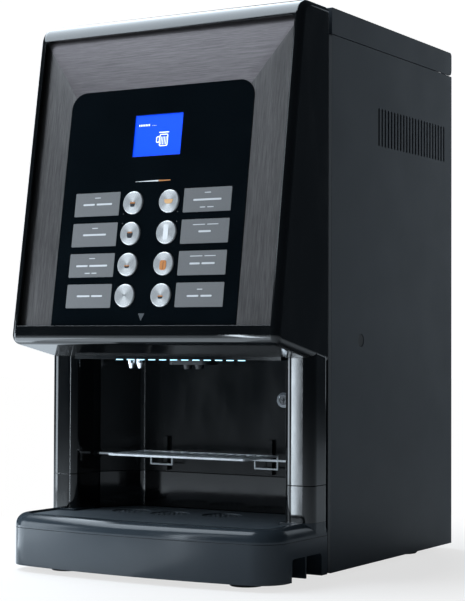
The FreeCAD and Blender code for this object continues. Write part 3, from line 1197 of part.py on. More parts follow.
def waste_bin():
    wall = 2.5
    half = COLUMN_INNER - 8
    front, rear = NICHE_BACK + 12, BULKHEAD_Y - 6
    floor = FOOT_HEIGHT + FRAME_SHEET + 1
    outer = slab(rectangle(-half, half, front, rear, 12), floor, BIN_TOP)
    inner = slab(rectangle(wall - half, half - wall, front + wall, rear - wall, 10), floor + wall, BIN_TOP + 6)
    return outer.cut(inner)


def control_board():
    y = BULKHEAD_Y + 10
    board = box(-60, 90, y, y + 1.6, 300, 450)
    chips = [box(-50 + 34 * i, -28 + 34 * i, y + 1, y + 12, 320 + 40 * (i % 3), 345 + 40 * (i % 3))
             for i in range(4)]
    posts = [rod((x, y - 8.5, z), (x, y + 1, z), 3) for x in (-54, 84) for z in (306, 444)]
    return fused([board] + chips + posts)


def fan_housing():
    y1 = Y_REAR - PANEL_SHEET - 0.2
    y0 = y1 - FAN_DEPTH
    half = FAN_SIZE / 2
    frame = panel(rectangle(FAN_X - half, FAN_X + half, FAN_Z - half, FAN_Z + half, 6), y0, y1)
    duct = rod((FAN_X, y0 - 1, FAN_Z), (FAN_X, y1 + 1, FAN_Z), half - 3)
    hub = rod((FAN_X, y0, FAN_Z), (FAN_X, y0 + 5, FAN_Z), 15)
    arms = [box(FAN_X - half, FAN_X + half, y0, y0 + 3, FAN_Z - 3, FAN_Z + 3),
            box(FAN_X - 3, FAN_X + 3, y0, y0 + 3, FAN_Z - half, FAN_Z + half)]
    axle_hole = rod((FAN_X, y0 - 1, FAN_Z), (FAN_X, y0 + 6, FAN_Z), 3 + RUNNING_CLEARANCE)
    return fused([frame.cut(duct), hub] + arms).cut(axle_hole)


def fan_rotor():
    y1 = Y_REAR - PANEL_SHEET - 0.2
    y0 = y1 - FAN_DEPTH
    hub = rod((FAN_X, y0 + 6, FAN_Z), (FAN_X, y1 - 3, FAN_Z), 16)
    axle = rod((FAN_X, y0 + 1, FAN_Z), (FAN_X, y0 + 8, FAN_Z), 3)
    blades = []
    for i in range(7):
        blade = box(FAN_X + 14, FAN_X + FAN_SIZE / 2 - 5, y0 + 8, y0 + 9.6, FAN_Z - 9, FAN_Z + 9)
        blade.rotate(V(FAN_X, y0 + 9, FAN_Z), V(1, 0, 0), 35)
        blade.rotate(V(FAN_X, y0 + 9, FAN_Z), V(0, 1, 0), 360 / 7 * i)
        blade.translate(V(0, 4, 0))
        blades.append(blade)
    return fused([hub, axle] + blades)


def water_tubes():
    """Silicone tubes from the inlet to the tank, from the tank to the pump, and on to the boiler."""
    r, gap = TUBE_RADIUS, TUBE_GAP
    riser = POCKET_FLOOR - 60
    tank_top = TANK_LOW + TANK_HEIGHT + 8
    beside = TANK_LEFT + TANK_WIDTH + 9
    inlet = tube_run([(WATER_X, POCKET_FLOOR - 40 - gap, SERVICE_Z), (WATER_X, riser, SERVICE_Z),
                      (WATER_X, riser, TANK_LOW - 30), (beside, riser, TANK_LOW), (beside, riser, tank_top),
                      (beside - 15, riser, tank_top)], r)
    pump_end = BULKHEAD_Y + 8
    feed = tube_run([(TANK_X, TANK_OUTLET_Y, TANK_LOW - 12 - gap), (TANK_X, TANK_OUTLET_Y, 120),
                     (TANK_X + 54, BULKHEAD_Y + 12, 60), (PUMP_X - 39, pump_end, PUMP_Z),
                     (PUMP_X - 14 - gap, pump_end, PUMP_Z)], r)
    side, over = PUMP_X + 46, 250.0
    boil = tube_run([(PUMP_X + 26.5 + gap, BOILER_Y, PUMP_Z), (side, BOILER_Y, PUMP_Z), (side, BOILER_Y, over),
                     (BOILER_X, BOILER_Y, over), (BOILER_X, BOILER_Y, 218 + gap)], r)
    return [inlet, feed, boil]


def main():
    os.makedirs("parts", exist_ok=True)
    right_panel = side_panel()
    pieces = {
        "chassis": chassis(),
        "feet": feet(),
        "right_side_panel": right_panel,
        "left_side_panel": mirrored(right_panel),
        "side_plugs": pair_of(side_plug()),
        "rear_panel": rear_panel(),
        "water_inlet": water_inlet(),
        "mains_inlet": mains_inlet(),
        "power_rocker": power_rocker(),
        "top_lid": top_lid(),
        "door_hardware": door_hardware(),
        "base_skirt": base_skirt(),
        "base_rim": base_rim(),
        "drip_basin": drip_basin(),
        "drip_plate": drip_plate(),
        "niche_base": niche_base(),
        "door_frame": door_frame(),
        "bezel": bezel(),
        "glass": glass(),
        "display": display(),
        "label_plates": label_plates(),
        "keypad_board": keypad_board(),
        "door_back": door_back(),
        "door_columns": door_columns(),
        "niche_liner": niche_liner(),
        "led_lenses": led_lenses(),
        "coffee_head": coffee_head(),
        "hot_water_nozzles": hot_water_nozzles(),
        "lock_barrel": lock_barrel(),
        "lock_plug": lock_plug(),
        "cup_shelf": cup_shelf(),
        "bulkhead": bulkhead(),
        "bean_hopper": bean_hopper(),
        "powder_canisters": powder_canisters(),
        "canister_lids": canister_lids(),
        "milk_auger": auger(BAY_CENTRES[1]),
        "chocolate_auger": auger(BAY_CENTRES[2]),
        "drive_motors": drive_motors(),
        "mixing_bowl": mixing_bowl(),
        "whipper": whipper(),
        "grinder": grinder(),
        "grinder_burr": grinder_burr(),
        "brew_unit": brew_unit(),
        "brew_piston": brew_piston(),
        "boiler": boiler(),
        "pump": pump(),
        "water_tank": water_tank(),
        "waste_bin": waste_bin(),
        "control_board": control_board(),
        "fan_housing": fan_housing(),
        "fan_rotor": fan_rotor(),
        "water_tubes": water_tubes(),
    }
    for number, (x, z) in enumerate(button_places(), start=1):
        pieces["button_%d" % number] = button(x, z)
    for name, shape in pieces.items():
        save(name, shape)


main()
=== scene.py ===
# %% [markdown]
# # Dressing a table-top coffee machine
# The machine arrives as a finished engineering model: every panel, button and pump is already in its
# place. This lesson gives it its skin: powder coat, gloss mouldings, brushed sheet, spun button caps,
# printed marks and light. We start by loading that model and measuring it, because every later
# position is taken from these measures and from nothing else.
# %% Load the machine
import json
import math
import bmesh
import bpy
from mathutils import Matrix, Vector


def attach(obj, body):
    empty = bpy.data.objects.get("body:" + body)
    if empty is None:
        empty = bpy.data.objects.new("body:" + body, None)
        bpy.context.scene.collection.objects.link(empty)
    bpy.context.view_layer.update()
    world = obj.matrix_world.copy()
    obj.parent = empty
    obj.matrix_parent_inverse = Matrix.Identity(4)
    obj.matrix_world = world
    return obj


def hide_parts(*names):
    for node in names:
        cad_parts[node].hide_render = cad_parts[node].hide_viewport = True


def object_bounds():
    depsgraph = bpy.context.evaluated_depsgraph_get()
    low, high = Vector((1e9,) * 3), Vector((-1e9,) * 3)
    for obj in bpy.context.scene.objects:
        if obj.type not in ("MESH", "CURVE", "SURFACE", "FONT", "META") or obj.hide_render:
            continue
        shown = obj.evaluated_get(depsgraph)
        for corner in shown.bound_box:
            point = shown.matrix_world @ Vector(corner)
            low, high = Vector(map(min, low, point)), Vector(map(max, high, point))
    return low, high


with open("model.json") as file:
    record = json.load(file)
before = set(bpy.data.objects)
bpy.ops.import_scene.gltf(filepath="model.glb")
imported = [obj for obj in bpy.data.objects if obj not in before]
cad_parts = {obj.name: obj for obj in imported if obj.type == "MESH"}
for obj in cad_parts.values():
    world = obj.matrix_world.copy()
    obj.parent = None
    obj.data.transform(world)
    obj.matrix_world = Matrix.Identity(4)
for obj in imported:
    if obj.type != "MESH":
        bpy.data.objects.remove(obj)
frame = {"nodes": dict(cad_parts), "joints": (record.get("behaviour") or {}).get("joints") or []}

MM = 0.001
cad_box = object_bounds()
nodes = frame["nodes"]
planned = {name: [m.name for m in piece.data.materials] for name, piece in nodes.items()}
for plain in bpy.data.materials:
    plain.name = "planned_" + plain.name
print("machine measures", [round(v, 4) for corner in cad_box for v in corner])

# %% [markdown]
# ## A way to write finishes
# A finish is a small graph of nodes. Real surfaces are never one flat value: paint has orange peel,
# mouldings carry faint haze where hands wipe them, sheet metal has grain. So each finish below mixes
# two close colours, lets its roughness wander a little, and adds a bump at the size of the real relief.
# Textures read the piece's own coordinates in metres, so a scale of 1000 means features near a millimetre.
# %% Helpers for finishes
MOULDED_EDGE = 0.0006    # radius of a folded or moulded edge, in metres
HANDLED_EDGE = 0.0005    # soft plastic
GLASS_EDGE = 0.0004      # ground glass
METAL_EDGE = 0.0003      # turned or chromed metal


def node(tree, kind, settings=None, **sockets):
    """Adds one node, with its settings and its unlinked values."""
    made = tree.nodes.new("ShaderNode" + kind)
    for key, value in (settings or {}).items():
        setattr(made, key, value)
    for key, value in sockets.items():
        made.inputs[key.replace("_", " ")].default_value = value
    return made


def start_finish(name, colour, roughness, metallic=0.0, specular=0.5):
    """A new finish with its fixed values set on the shader itself."""
    finish = bpy.data.materials.new(name)
    finish.use_nodes = True
    shader = finish.node_tree.nodes["Principled BSDF"]
    shader.inputs["Base Color"].default_value = (*colour, 1.0)
    shader.inputs["Roughness"].default_value = roughness
    shader.inputs["Metallic"].default_value = metallic
    shader.inputs["Specular IOR Level"].default_value = specular
    return finish, finish.node_tree, shader


def place_of(tree, stretch=(1.0, 1.0, 1.0)):
    """The piece's own coordinates, stretched along its axes."""
    place = node(tree, "TexCoord")
    mapping = node(tree, "Mapping")
    mapping.inputs["Scale"].default_value = stretch
    tree.links.new(place.outputs["Object"], mapping.inputs["Vector"])
    return mapping.outputs["Vector"]


def noise(tree, place, scale, detail=3.0, roughness=0.55):
    made = node(tree, "TexNoise", Scale=scale, Detail=detail, Roughness=roughness)
    tree.links.new(place, made.inputs["Vector"])
    return made.outputs["Fac"]


def ranged(tree, value, low, high, from_low=0.3, from_high=0.7):
    made = node(tree, "MapRange")
    for key, number in zip(("From Min", "From Max", "To Min", "To Max"), (from_low, from_high, low, high)):
        made.inputs[key].default_value = number
    tree.links.new(value, made.inputs["Value"])
    return made.outputs["Result"]


def blended(tree, value, first, second, low=0.3, high=0.7):
    """Two colours mixed by a value between low and high."""
    made = node(tree, "ValToRGB")
    ramp = made.color_ramp
    ramp.elements[0].position, ramp.elements[0].color = low, (*first, 1.0)
    ramp.elements[1].position, ramp.elements[1].color = high, (*second, 1.0)
    tree.links.new(value, made.inputs["Fac"])
    return made.outputs["Color"]


def relief(tree, shader, value, depth, strength=1.0, edge=0.0):
    """Bump from a value, over edges softened to a small radius."""
    bump = node(tree, "Bump", Strength=strength, Distance=depth)
    tree.links.new(value, bump.inputs["Height"])
    if edge:
        soft = node(tree, "Bevel", {"samples": 4}, Radius=edge)
        tree.links.new(soft.outputs["Normal"], bump.inputs["Normal"])
    tree.links.new(bump.outputs["Normal"], shader.inputs["Normal"])


print("finish helpers ready")

# %% [markdown]
# ## Painted steel
# The cabinet is folded steel with a fine powder coat. Powder melts into a skin with a soft pebble, about
# two thirds of a millimetre across and only microns deep, so the sheen is broad and slightly broken.
# Dust settles on it unevenly, which shows as a slow drift between two nearly equal blue-greys.
# %% Powder coat
PEBBLE = 1500.0                     # pebbles per metre, so each is under a millimetre across
SMOOTHER, ROUGHER = 0.02, 0.035     # how far wiping and dust move the roughness


def powder_coat(name, dark, light, roughness=0.42, specular=0.3, depth=0.00006):
    finish, tree, shader = start_finish(name, dark, roughness, specular=specular)
    place = place_of(tree)
    drift = noise(tree, place, 3.2, 4.0)
    tree.links.new(blended(tree, drift, dark, light), shader.inputs["Base Color"])
    wiped = noise(tree, place, 14.0, 5.0)
    tree.links.new(ranged(tree, wiped, roughness - SMOOTHER, roughness + ROUGHER), shader.inputs["Roughness"])
    pebble = noise(tree, place, PEBBLE, 2.0)
    relief(tree, shader, pebble, depth, 0.6, edge=MOULDED_EDGE)
    return finish


cabinet_paint = powder_coat("cabinet_paint", (0.017, 0.0225, 0.029), (0.021, 0.028, 0.036), 0.42, 0.26)
frame_steel = powder_coat("frame_steel", (0.008, 0.009, 0.011), (0.013, 0.015, 0.018), 0.34, 0.35)
print("painted finishes:", cabinet_paint.name, frame_steel.name)

# %% [markdown]
# ## Moulded plastics
# The door frame and columns are gloss black mouldings: a polished mould leaves a mirror skin, and wiping
# leaves hazy patches and hair scratches in it. The niche is the same plastic from a duller mould. The base
# is a blue-grey moulding with a satin front. One recipe makes all of them; only the numbers change.
# %% Mouldings
FINE_GRAIN, POLISH = 2200.0, 40.0   # relief per metre: a textured mould, and a polished one
POLISH_DEPTH = 0.00003


def moulding(name, dark, light, roughness, haze, specular, grain=0.0):
    finish, tree, shader = start_finish(name, dark, roughness, specular=specular)
    place = place_of(tree)
    drift = noise(tree, place, 6.0, 3.0)
    tree.links.new(blended(tree, drift, dark, light), shader.inputs["Base Color"])
    wiped = noise(tree, place_of(tree, (1.0, 1.0, 0.35)), 22.0, 8.0, 0.7)
    tree.links.new(ranged(tree, wiped, roughness, roughness + haze, 0.4, 0.75), shader.inputs["Roughness"])
    skin = noise(tree, place, FINE_GRAIN if grain else POLISH, 2.0)
    relief(tree, shader, skin, grain or POLISH_DEPTH, 0.5 if grain else 0.12, MOULDED_EDGE)
    return finish


gloss_black = moulding("gloss_black", (0.0016, 0.0020, 0.0024), (0.003, 0.0035, 0.004), 0.06, 0.08, 0.50)
niche_black = moulding("niche_black", (0.003, 0.004, 0.0045), (0.006, 0.007, 0.008), 0.14, 0.12, 0.24)
base_gloss = moulding("base_gloss", (0.020, 0.026, 0.032), (0.027, 0.034, 0.041), 0.14, 0.10, 0.24)
plate_grey = moulding("plate_grey", (0.045, 0.055, 0.065), (0.065, 0.078, 0.09), 0.36, 0.12, 0.40, 0.00005)
black_trim = moulding("black_trim", (0.006, 0.006, 0.007), (0.012, 0.012, 0.013), 0.45, 0.15, 0.40, 0.00004)
print("moulded finishes ready")

# %% [markdown]
# ## Brushed sheet
# The sheet round the glass is brushed: an abrasive belt leaves thousands of parallel scratches. Along
# the brushing the surface is smooth, across it it is rough, so highlights stretch across the grain. A noise
# squeezed to thin threads gives the scratches, and the shader's anisotropy gives the stretched highlight.
# The top strip is brushed from side to side and the side strips up and down. Beyond the grain, their colours
# hold painted light: the top strip is painted lighter, a painted highlight, and the side strips darker, a
# painted shade.
# %% Brushed sheet
ALONG_GRAIN, ACROSS_GRAIN = 60.0, 2200.0    # scratches per metre each way


def brushed_sheet(name, dark, light, along, roughness=0.34):
    finish, tree, shader = start_finish(name, dark, roughness, metallic=0.85)
    threads = {"X": (ALONG_GRAIN, ACROSS_GRAIN, ACROSS_GRAIN),
               "Y": (ACROSS_GRAIN, ALONG_GRAIN, ACROSS_GRAIN)}[along]
    fine = noise(tree, place_of(tree, threads), 1.0, 6.0, 0.7)
    coarse = noise(tree, place_of(tree, tuple(v * 0.35 for v in threads)), 1.0, 3.0, 0.6)
    both = node(tree, "Math", {"operation": "ADD"})
    half = node(tree, "Math", {"operation": "MULTIPLY"})
    half.inputs[1].default_value = 0.5
    tree.links.new(fine, both.inputs[0])
    tree.links.new(coarse, both.inputs[1])
    tree.links.new(both.outputs[0], half.inputs[0])
    grain = half.outputs[0]
    tree.links.new(blended(tree, grain, dark, light, 0.38, 0.62), shader.inputs["Base Color"])
    tree.links.new(ranged(tree, grain, roughness - 0.04, roughness + 0.06, 0.35, 0.65),
                   shader.inputs["Roughness"])
    shader.inputs["Anisotropic"].default_value = 0.7
    shader.inputs["Anisotropic Rotation"].default_value = 0.0 if along == "X" else 0.25
    turn = node(tree, "Tangent", {"direction_type": "UV_MAP", "uv_map": "flat"})
    tree.links.new(turn.outputs["Tangent"], shader.inputs["Tangent"])
    relief(tree, shader, grain, 0.00003, 0.4)
    return finish


# painted light: one brushed sheet in two copies, the top strip painted lighter as a painted highlight and the
# side strips painted darker as a painted shade
bezel_across_painted_light = brushed_sheet("brushed_across", (0.115, 0.104, 0.108), (0.205, 0.185, 0.190), "X")
bezel_upright_painted_shade = brushed_sheet("brushed_upright", (0.040, 0.038, 0.038), (0.084, 0.079, 0.078), "Y")
print("brushed finishes ready")

# %% [markdown]
# ## Metals, glass, rubber and light
# What is left are small families: bare and chromed metal, the black front glass, coloured prints, foot
# rubber, silicone, circuit board and the lit lenses. Each keeps one visible habit of the real thing: zinc
# is mottled, chrome is nearly a mirror, rubber is chalky, board lacquer shows its tracks.
# %% Bare metals
def bare_metal(name, dark, light, roughness, scale=260.0, depth=0.00003, stretch=(1, 1, 1)):
    finish, tree, shader = start_finish(name, dark, roughness, metallic=1.0)
    grain = noise(tree, place_of(tree, stretch), scale, 5.0, 0.6)
    tree.links.new(blended(tree, grain, dark, light), shader.inputs["Base Color"])
    tree.links.new(ranged(tree, grain, roughness, roughness + 0.12), shader.inputs["Roughness"])
    relief(tree, shader, grain, depth, 0.4, edge=METAL_EDGE)
    return finish


zinc_steel = bare_metal("zinc_steel", (0.32, 0.33, 0.34), (0.46, 0.47, 0.48), 0.34, 120.0)
motor_steel = bare_metal("motor_steel", (0.30, 0.30, 0.30), (0.42, 0.42, 0.41), 0.28, 60.0, 0.00002,
                         (1, 1, 20))
chrome_trim = bare_metal("chrome_trim", (0.62, 0.64, 0.67), (0.74, 0.76, 0.79), 0.05, 40.0, 0.000005)
dark_steel = bare_metal("dark_steel", (0.05, 0.052, 0.055), (0.09, 0.092, 0.096), 0.22, 220.0)
brass_fitting = bare_metal("brass_fitting", (0.55, 0.36, 0.13), (0.68, 0.47, 0.19), 0.25, 90.0)
print("metals ready")

# %% [markdown]
# ## Spun metal
# A button cap is faced on a lathe, which leaves fine rings round its centre and makes the light fan out in
# two opposite wedges. Rings need a value that depends only on the distance from the centre, so we measure
# that distance and read a one-dimensional noise with it. The fan of light is painted into the colour as a
# painted sheen: the cosine of twice the angle makes two opposite wedges lighter and the wedges between
# darker.
# %% Spun caps
def spun_cap():
    """Turned aluminium: rings round the centre, with a painted sheen fanning out from it in two wedges."""
    finish, tree, shader = start_finish("button_metal", (0.7, 0.71, 0.73), 0.26, metallic=0.35)
    place = node(tree, "TexCoord")
    parts = node(tree, "SeparateXYZ")
    tree.links.new(place.outputs["Object"], parts.inputs["Vector"])
    flat = node(tree, "CombineXYZ")
    tree.links.new(parts.outputs["X"], flat.inputs["X"])
    tree.links.new(parts.outputs["Y"], flat.inputs["Y"])
    reach = node(tree, "VectorMath", {"operation": "LENGTH"})
    tree.links.new(flat.outputs["Vector"], reach.inputs[0])
    rings = node(tree, "TexNoise", {"noise_dimensions": "1D"}, Scale=5200.0, Detail=3.0)
    tree.links.new(reach.outputs["Value"], rings.inputs["W"])
    turn = node(tree, "Math", {"operation": "ARCTAN2"})
    tree.links.new(parts.outputs["X"], turn.inputs[0])
    tree.links.new(parts.outputs["Y"], turn.inputs[1])
    doubled = node(tree, "Math", {"operation": "MULTIPLY"})
    doubled.inputs[1].default_value = 2.0
    tree.links.new(turn.outputs[0], doubled.inputs[0])
    painted_fan_sheen = node(tree, "Math", {"operation": "COSINE"})
    tree.links.new(doubled.outputs[0], painted_fan_sheen.inputs[0])
    # painted sheen: the base colour is lighter in two opposite wedges and darker between them, standing in
    # for the fanned highlight
    shade = blended(tree, ranged(tree, painted_fan_sheen.outputs[0], 0.0, 1.0, -1.0, 1.0), (0.40, 0.40, 0.40),
                    (0.78, 0.775, 0.77), 0.25, 0.95)
    tree.links.new(shade, shader.inputs["Base Color"])
    tree.links.new(ranged(tree, rings.outputs["Fac"], 0.2, 0.36), shader.inputs["Roughness"])
    shader.inputs["Anisotropic"].default_value = 0.5
    around = node(tree, "Tangent", {"direction_type": "RADIAL", "axis": "Z"})
    tree.links.new(around.outputs["Tangent"], shader.inputs["Tangent"])
    relief(tree, shader, rings.outputs["Fac"], 0.00003, 0.4)
    return finish


button_metal = spun_cap()
print("spun finish:", button_metal.name)

# %% [markdown]
# ## Glass, inks and soft plastics
# The front glass is printed black from behind, so it is a mirror over ink. Screen ink is thin and slightly
# grainy; ink with a lamp behind it glows in its own colour. Rubber, silicone and plastic differ in how
# dull they are and in how much light they let through, so one recipe with those two numbers serves them.
# %% Glass, prints and soft parts
def front_glass():
    """Glass printed black from behind: a mirror skin over ink, with faint wipe marks."""
    finish, tree, shader = start_finish("black_glass", (0.0016, 0.0030, 0.0042), 0.03, specular=0.22)
    place = place_of(tree)
    tree.links.new(blended(tree, noise(tree, place, 9.0), (0.0012, 0.0024, 0.0034), (0.0022, 0.0038, 0.0052)),
                   shader.inputs["Base Color"])
    tree.links.new(ranged(tree, noise(tree, place, 30.0, 8.0), 0.02, 0.10, 0.45, 0.8),
                   shader.inputs["Roughness"])
    relief(tree, shader, noise(tree, place, 25.0), 0.00001, 0.3, edge=GLASS_EDGE)
    return finish


def print_ink(name, colour, glow=0.0, roughness=0.5):
    finish, tree, shader = start_finish(name, colour, roughness, specular=0.3)
    place = place_of(tree)
    speck = noise(tree, place, 1800.0, 2.0)
    pale = tuple(min(1.0, c * 1.06) for c in colour)
    shade = blended(tree, speck, tuple(c * 0.92 for c in colour), pale)
    tree.links.new(shade, shader.inputs["Base Color"])
    if glow:
        tree.links.new(shade, shader.inputs["Emission Color"])
        shader.inputs["Emission Strength"].default_value = glow
    relief(tree, shader, speck, 0.00002, 0.3)
    return finish


def soft_plastic(name, dark, light, roughness, clear=0.0):
    finish, tree, shader = start_finish(name, dark, roughness, specular=0.4)
    place = place_of(tree)
    tree.links.new(blended(tree, noise(tree, place, 40.0, 4.0), dark, light), shader.inputs["Base Color"])
    tree.links.new(ranged(tree, noise(tree, place, 25.0, 5.0), roughness - 0.05, roughness + 0.1),
                   shader.inputs["Roughness"])
    shader.inputs["Transmission Weight"].default_value = clear
    relief(tree, shader, noise(tree, place, 900.0), 0.00003, 0.4, edge=HANDLED_EDGE)
    return finish


black_glass = front_glass()
screen_blue = print_ink("screen_blue", (0.0, 0.055, 0.80), glow=0.85, roughness=0.3)
label_grey = print_ink("label_grey", (0.150, 0.149, 0.150))
print_white = print_ink("print_white", (0.80, 0.80, 0.80))
label_print = print_ink("label_print", (0.60, 0.60, 0.61))
screen_white = print_ink("screen_white", (0.85, 0.90, 1.0), glow=0.8)
cup_orange = print_ink("print_orange", (0.52, 0.20, 0.06))
cup_tan = print_ink("print_tan", (0.72, 0.42, 0.20))
cup_dark = print_ink("print_dark", (0.020, 0.024, 0.03))
dim_grey = print_ink("print_dim_grey", (0.06, 0.065, 0.07))
light_lens = print_ink("light_lens", (0.42, 0.78, 1.0), glow=1.9)
rocker_red = print_ink("rocker_red", (0.45, 0.02, 0.015), roughness=0.3)
shelf_wire = soft_plastic("shelf_wire", (0.62, 0.64, 0.66), (0.78, 0.80, 0.82), 0.22)
foot_rubber = soft_plastic("foot_rubber", (0.010, 0.010, 0.010), (0.022, 0.021, 0.020), 0.75)
smoked_plastic = soft_plastic("smoked_plastic", (0.05, 0.04, 0.035), (0.08, 0.065, 0.055), 0.12, clear=0.6)
canister_plastic = soft_plastic("canister_plastic", (0.42, 0.43, 0.43), (0.52, 0.53, 0.53), 0.35)
tube_silicone = soft_plastic("tube_silicone", (0.55, 0.56, 0.55), (0.68, 0.69, 0.68), 0.3, clear=0.25)
print("glass, inks and plastics ready")

# %% [markdown]
# ## Circuit board
# Green lacquer lies over square copper tracks. A cell pattern measured by its longest side gives the
# square shapes, and its steps also raise the lacquer a little.
# %% Circuit board
def board_lacquer():
    """Green solder lacquer over square copper tracks."""
    finish, tree, shader = start_finish("circuit_board", (0.012, 0.09, 0.035), 0.32)
    place = place_of(tree, (260.0, 260.0, 260.0))
    tracks = node(tree, "TexVoronoi", {"distance": "CHEBYCHEV", "feature": "F1"}, Scale=1.0)
    tree.links.new(place, tracks.inputs["Vector"])
    shade = blended(tree, tracks.outputs["Distance"], (0.02, 0.15, 0.06), (0.008, 0.06, 0.025), 0.42, 0.46)
    tree.links.new(shade, shader.inputs["Base Color"])
    relief(tree, shader, tracks.outputs["Distance"], 0.00005, 0.5)
    return finish


circuit_board = board_lacquer()
print("board finish:", circuit_board.name)

# %% [markdown]
# ## Putting the finishes on
# The model says, for every piece, which finish it was planned with. We follow that list, so a piece
# that isn't rebuilt below still gets its proper skin.
# %% Assign the finishes
finishes = {made.name: made for made in bpy.data.materials if not made.name.startswith("planned_")}
finishes["brushed_bezel"] = bezel_upright_painted_shade
for name, piece in nodes.items():
    for slot, plan in zip(piece.material_slots, planned[name]):
        slot.material = finishes[plan]
nodes["lock_plug"].material_slots[0].material = dark_steel
print("pieces dressed:", len(nodes))

# %% [markdown]
# ## The operating face
# The face leans back, and everything printed or pressed on it lies in that leaning plane. The buttons
# travel square to it, so their joint gives us the direction into the machine. From that we build a small
# frame of our own: across, up the face, and out of it, starting at the lower edge of the glass.
# %% Measure the leaning face
inward = Vector(next(j["axis"] for j in frame["joints"] if j["name"] == "press_1")).normalized()
across = Vector((1.0, 0.0, 0.0))
up_face = inward.cross(across) * -1.0
if up_face.z < 0:
    up_face = -up_face


def on_plane(piece):
    """A piece's corners as (across, up the face, out of the face)."""
    points = [v.co for v in nodes[piece].data.vertices]
    spans = []
    for axis in (across, up_face, -inward):
        values = [p.dot(axis) for p in points]
        spans.append((min(values), max(values)))
    return spans


glass_across, glass_up, glass_out = on_plane("glass")
face_origin = up_face * glass_up[0] - inward * glass_out[1]


def face_point(x, up, out=0.0):
    return face_origin + across * x + up_face * up - inward * out


face_turn = Matrix((across, up_face, -inward)).transposed().to_4x4()


def face_frame(x, up, out=0.0):
    """A matrix that lays a flat drawing on the face: its X across, its Y up, its Z outward."""
    return Matrix.Translation(face_point(x, up, out)) @ face_turn


button_at = {}
for number in range(1, 9):
    span_x, span_up, span_out = on_plane("button_%d" % number)
    button_at[number] = ((span_x[0] + span_x[1]) / 2, (span_up[0] + span_up[1]) / 2 - glass_up[0],
                         (span_x[1] - span_x[0]) / 2, span_out[1] - glass_out[1])
label_points = [v.co for v in nodes["label_plates"].data.vertices]
label_inner = min(abs(p.x) for p in label_points)
label_outer = max(abs(p.x) for p in label_points)
label_half_height = button_at[1][1] - (min(p.dot(up_face) for p in label_points) - glass_up[0])
print("face leans back", round(math.degrees(math.atan2(-inward.z, inward.y)), 2), "degrees")
print("buttons", {k: [round(v / MM, 1) for v in at] for k, at in button_at.items()})

# %% [markdown]
# ## Drawing small parts as meshes
# Printed marks are raised by a few hundredths of a millimetre, like screen-print ink. Each is an outline
# filled as one face and given that small thickness, so it stays crisp from any distance.
# %% Helpers for meshes
def keep_mesh(name, mesh, finish, body, place=None, smooth=False):
    """Turns a bmesh into a piece that rides on a body."""
    data = bpy.data.meshes.new(name)
    bmesh.ops.recalc_face_normals(mesh, faces=mesh.faces)
    for face in mesh.faces:
        face.smooth = smooth
    mesh.to_mesh(data)
    mesh.free()
    piece = bpy.data.objects.new(name, data)
    bpy.context.scene.collection.objects.link(piece)
    for one in (finish if isinstance(finish, list) else [finish]):
        data.materials.append(one)
    if place is not None:
        piece.matrix_world = place
    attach(piece, body)
    return piece


def add_plate(mesh, outline, thick, base=0.0):
    """Adds a flat plate with this outline to a mesh, from height base up to base + thick."""
    low = [mesh.verts.new((x, y, base)) for x, y in outline]
    high = [mesh.verts.new((x, y, base + thick)) for x, y in outline]
    mesh.faces.new(high)
    mesh.faces.new(low[::-1])
    for i in range(len(outline)):
        j = (i + 1) % len(outline)
        mesh.faces.new((low[i], low[j], high[j], high[i]))


def bar_outline(x, y, width, height, radius=None, steps=5):
    """A bar with round ends or corners, centred at (x, y)."""
    radius = min(width, height) / 2 * 0.98 if radius is None else radius
    points = []
    for quarter, (sx, sy) in enumerate(((1, 1), (-1, 1), (-1, -1), (1, -1))):
        cx = x + sx * (width / 2 - radius)
        cy = y + sy * (height / 2 - radius)
        for i in range(steps + 1):
            turn = math.radians(90 * quarter + 90 * i / steps)
            points.append((cx + radius * math.cos(turn), cy + radius * math.sin(turn)))
    return points


def ring_plate(mesh, outer, inner, thick):
    """Adds a flat ring between two outlines with the same number of points."""
    levels = [[mesh.verts.new((x, y, z)) for x, y in line] for z in (0.0, thick) for line in (outer, inner)]
    low_out, low_in, high_out, high_in = levels
    count = len(outer)
    for i in range(count):
        j = (i + 1) % count
        mesh.faces.new((high_out[i], high_out[j], high_in[j], high_in[i]))
        mesh.faces.new((low_out[j], low_out[i], low_in[i], low_in[j]))
        mesh.faces.new((low_out[i], low_out[j], high_out[j], high_out[i]))
        mesh.faces.new((low_in[j], low_in[i], high_in[i], high_in[j]))


INK = 0.06 * MM
print("mesh helpers ready")

# %% [markdown]
# ## The brushed frame round the glass
# On the real machine this sheet is pressed into a very shallow pyramid: it rises towards the glass, with
# a crease running in from each top corner, like a mitred picture frame. The creases are what catch the
# light. We draw the window with its round corners, join it to the outer edge, and give each strip its own
# brushing and its own painted brightness: the top strip painted lighter, the side strips painted darker.
# %% Build the brushed frame
EDGE_GAP = 0.5 * MM                         # clearance to the hood round the sheet
GLASS_GAP = 0.35 * MM                       # clearance to the glass
RISE_IN, RISE_OUT = -0.7 * MM, -3.2 * MM    # how far the sheet lies behind the glass front
SHEET_THICK = 1.2 * MM
ARC = 10
outer_half = (on_plane("bezel")[0][1] - on_plane("bezel")[0][0]) / 2 - EDGE_GAP
outer_top = on_plane("bezel")[1][1] - glass_up[0] - EDGE_GAP
window_half = glass_across[1] + GLASS_GAP
window_top = glass_up[1] - glass_up[0] + GLASS_GAP
window_round = 22.4 * MM


def window_arc(side):
    """The round corner of the window, from its upright side to its top."""
    points = []
    for i in range(ARC + 1):
        turn = math.radians(90 * i / ARC)
        points.append((side * (window_half - window_round * (1 - math.cos(turn))),
                       window_top - window_round * (1 - math.sin(turn))))
    return points


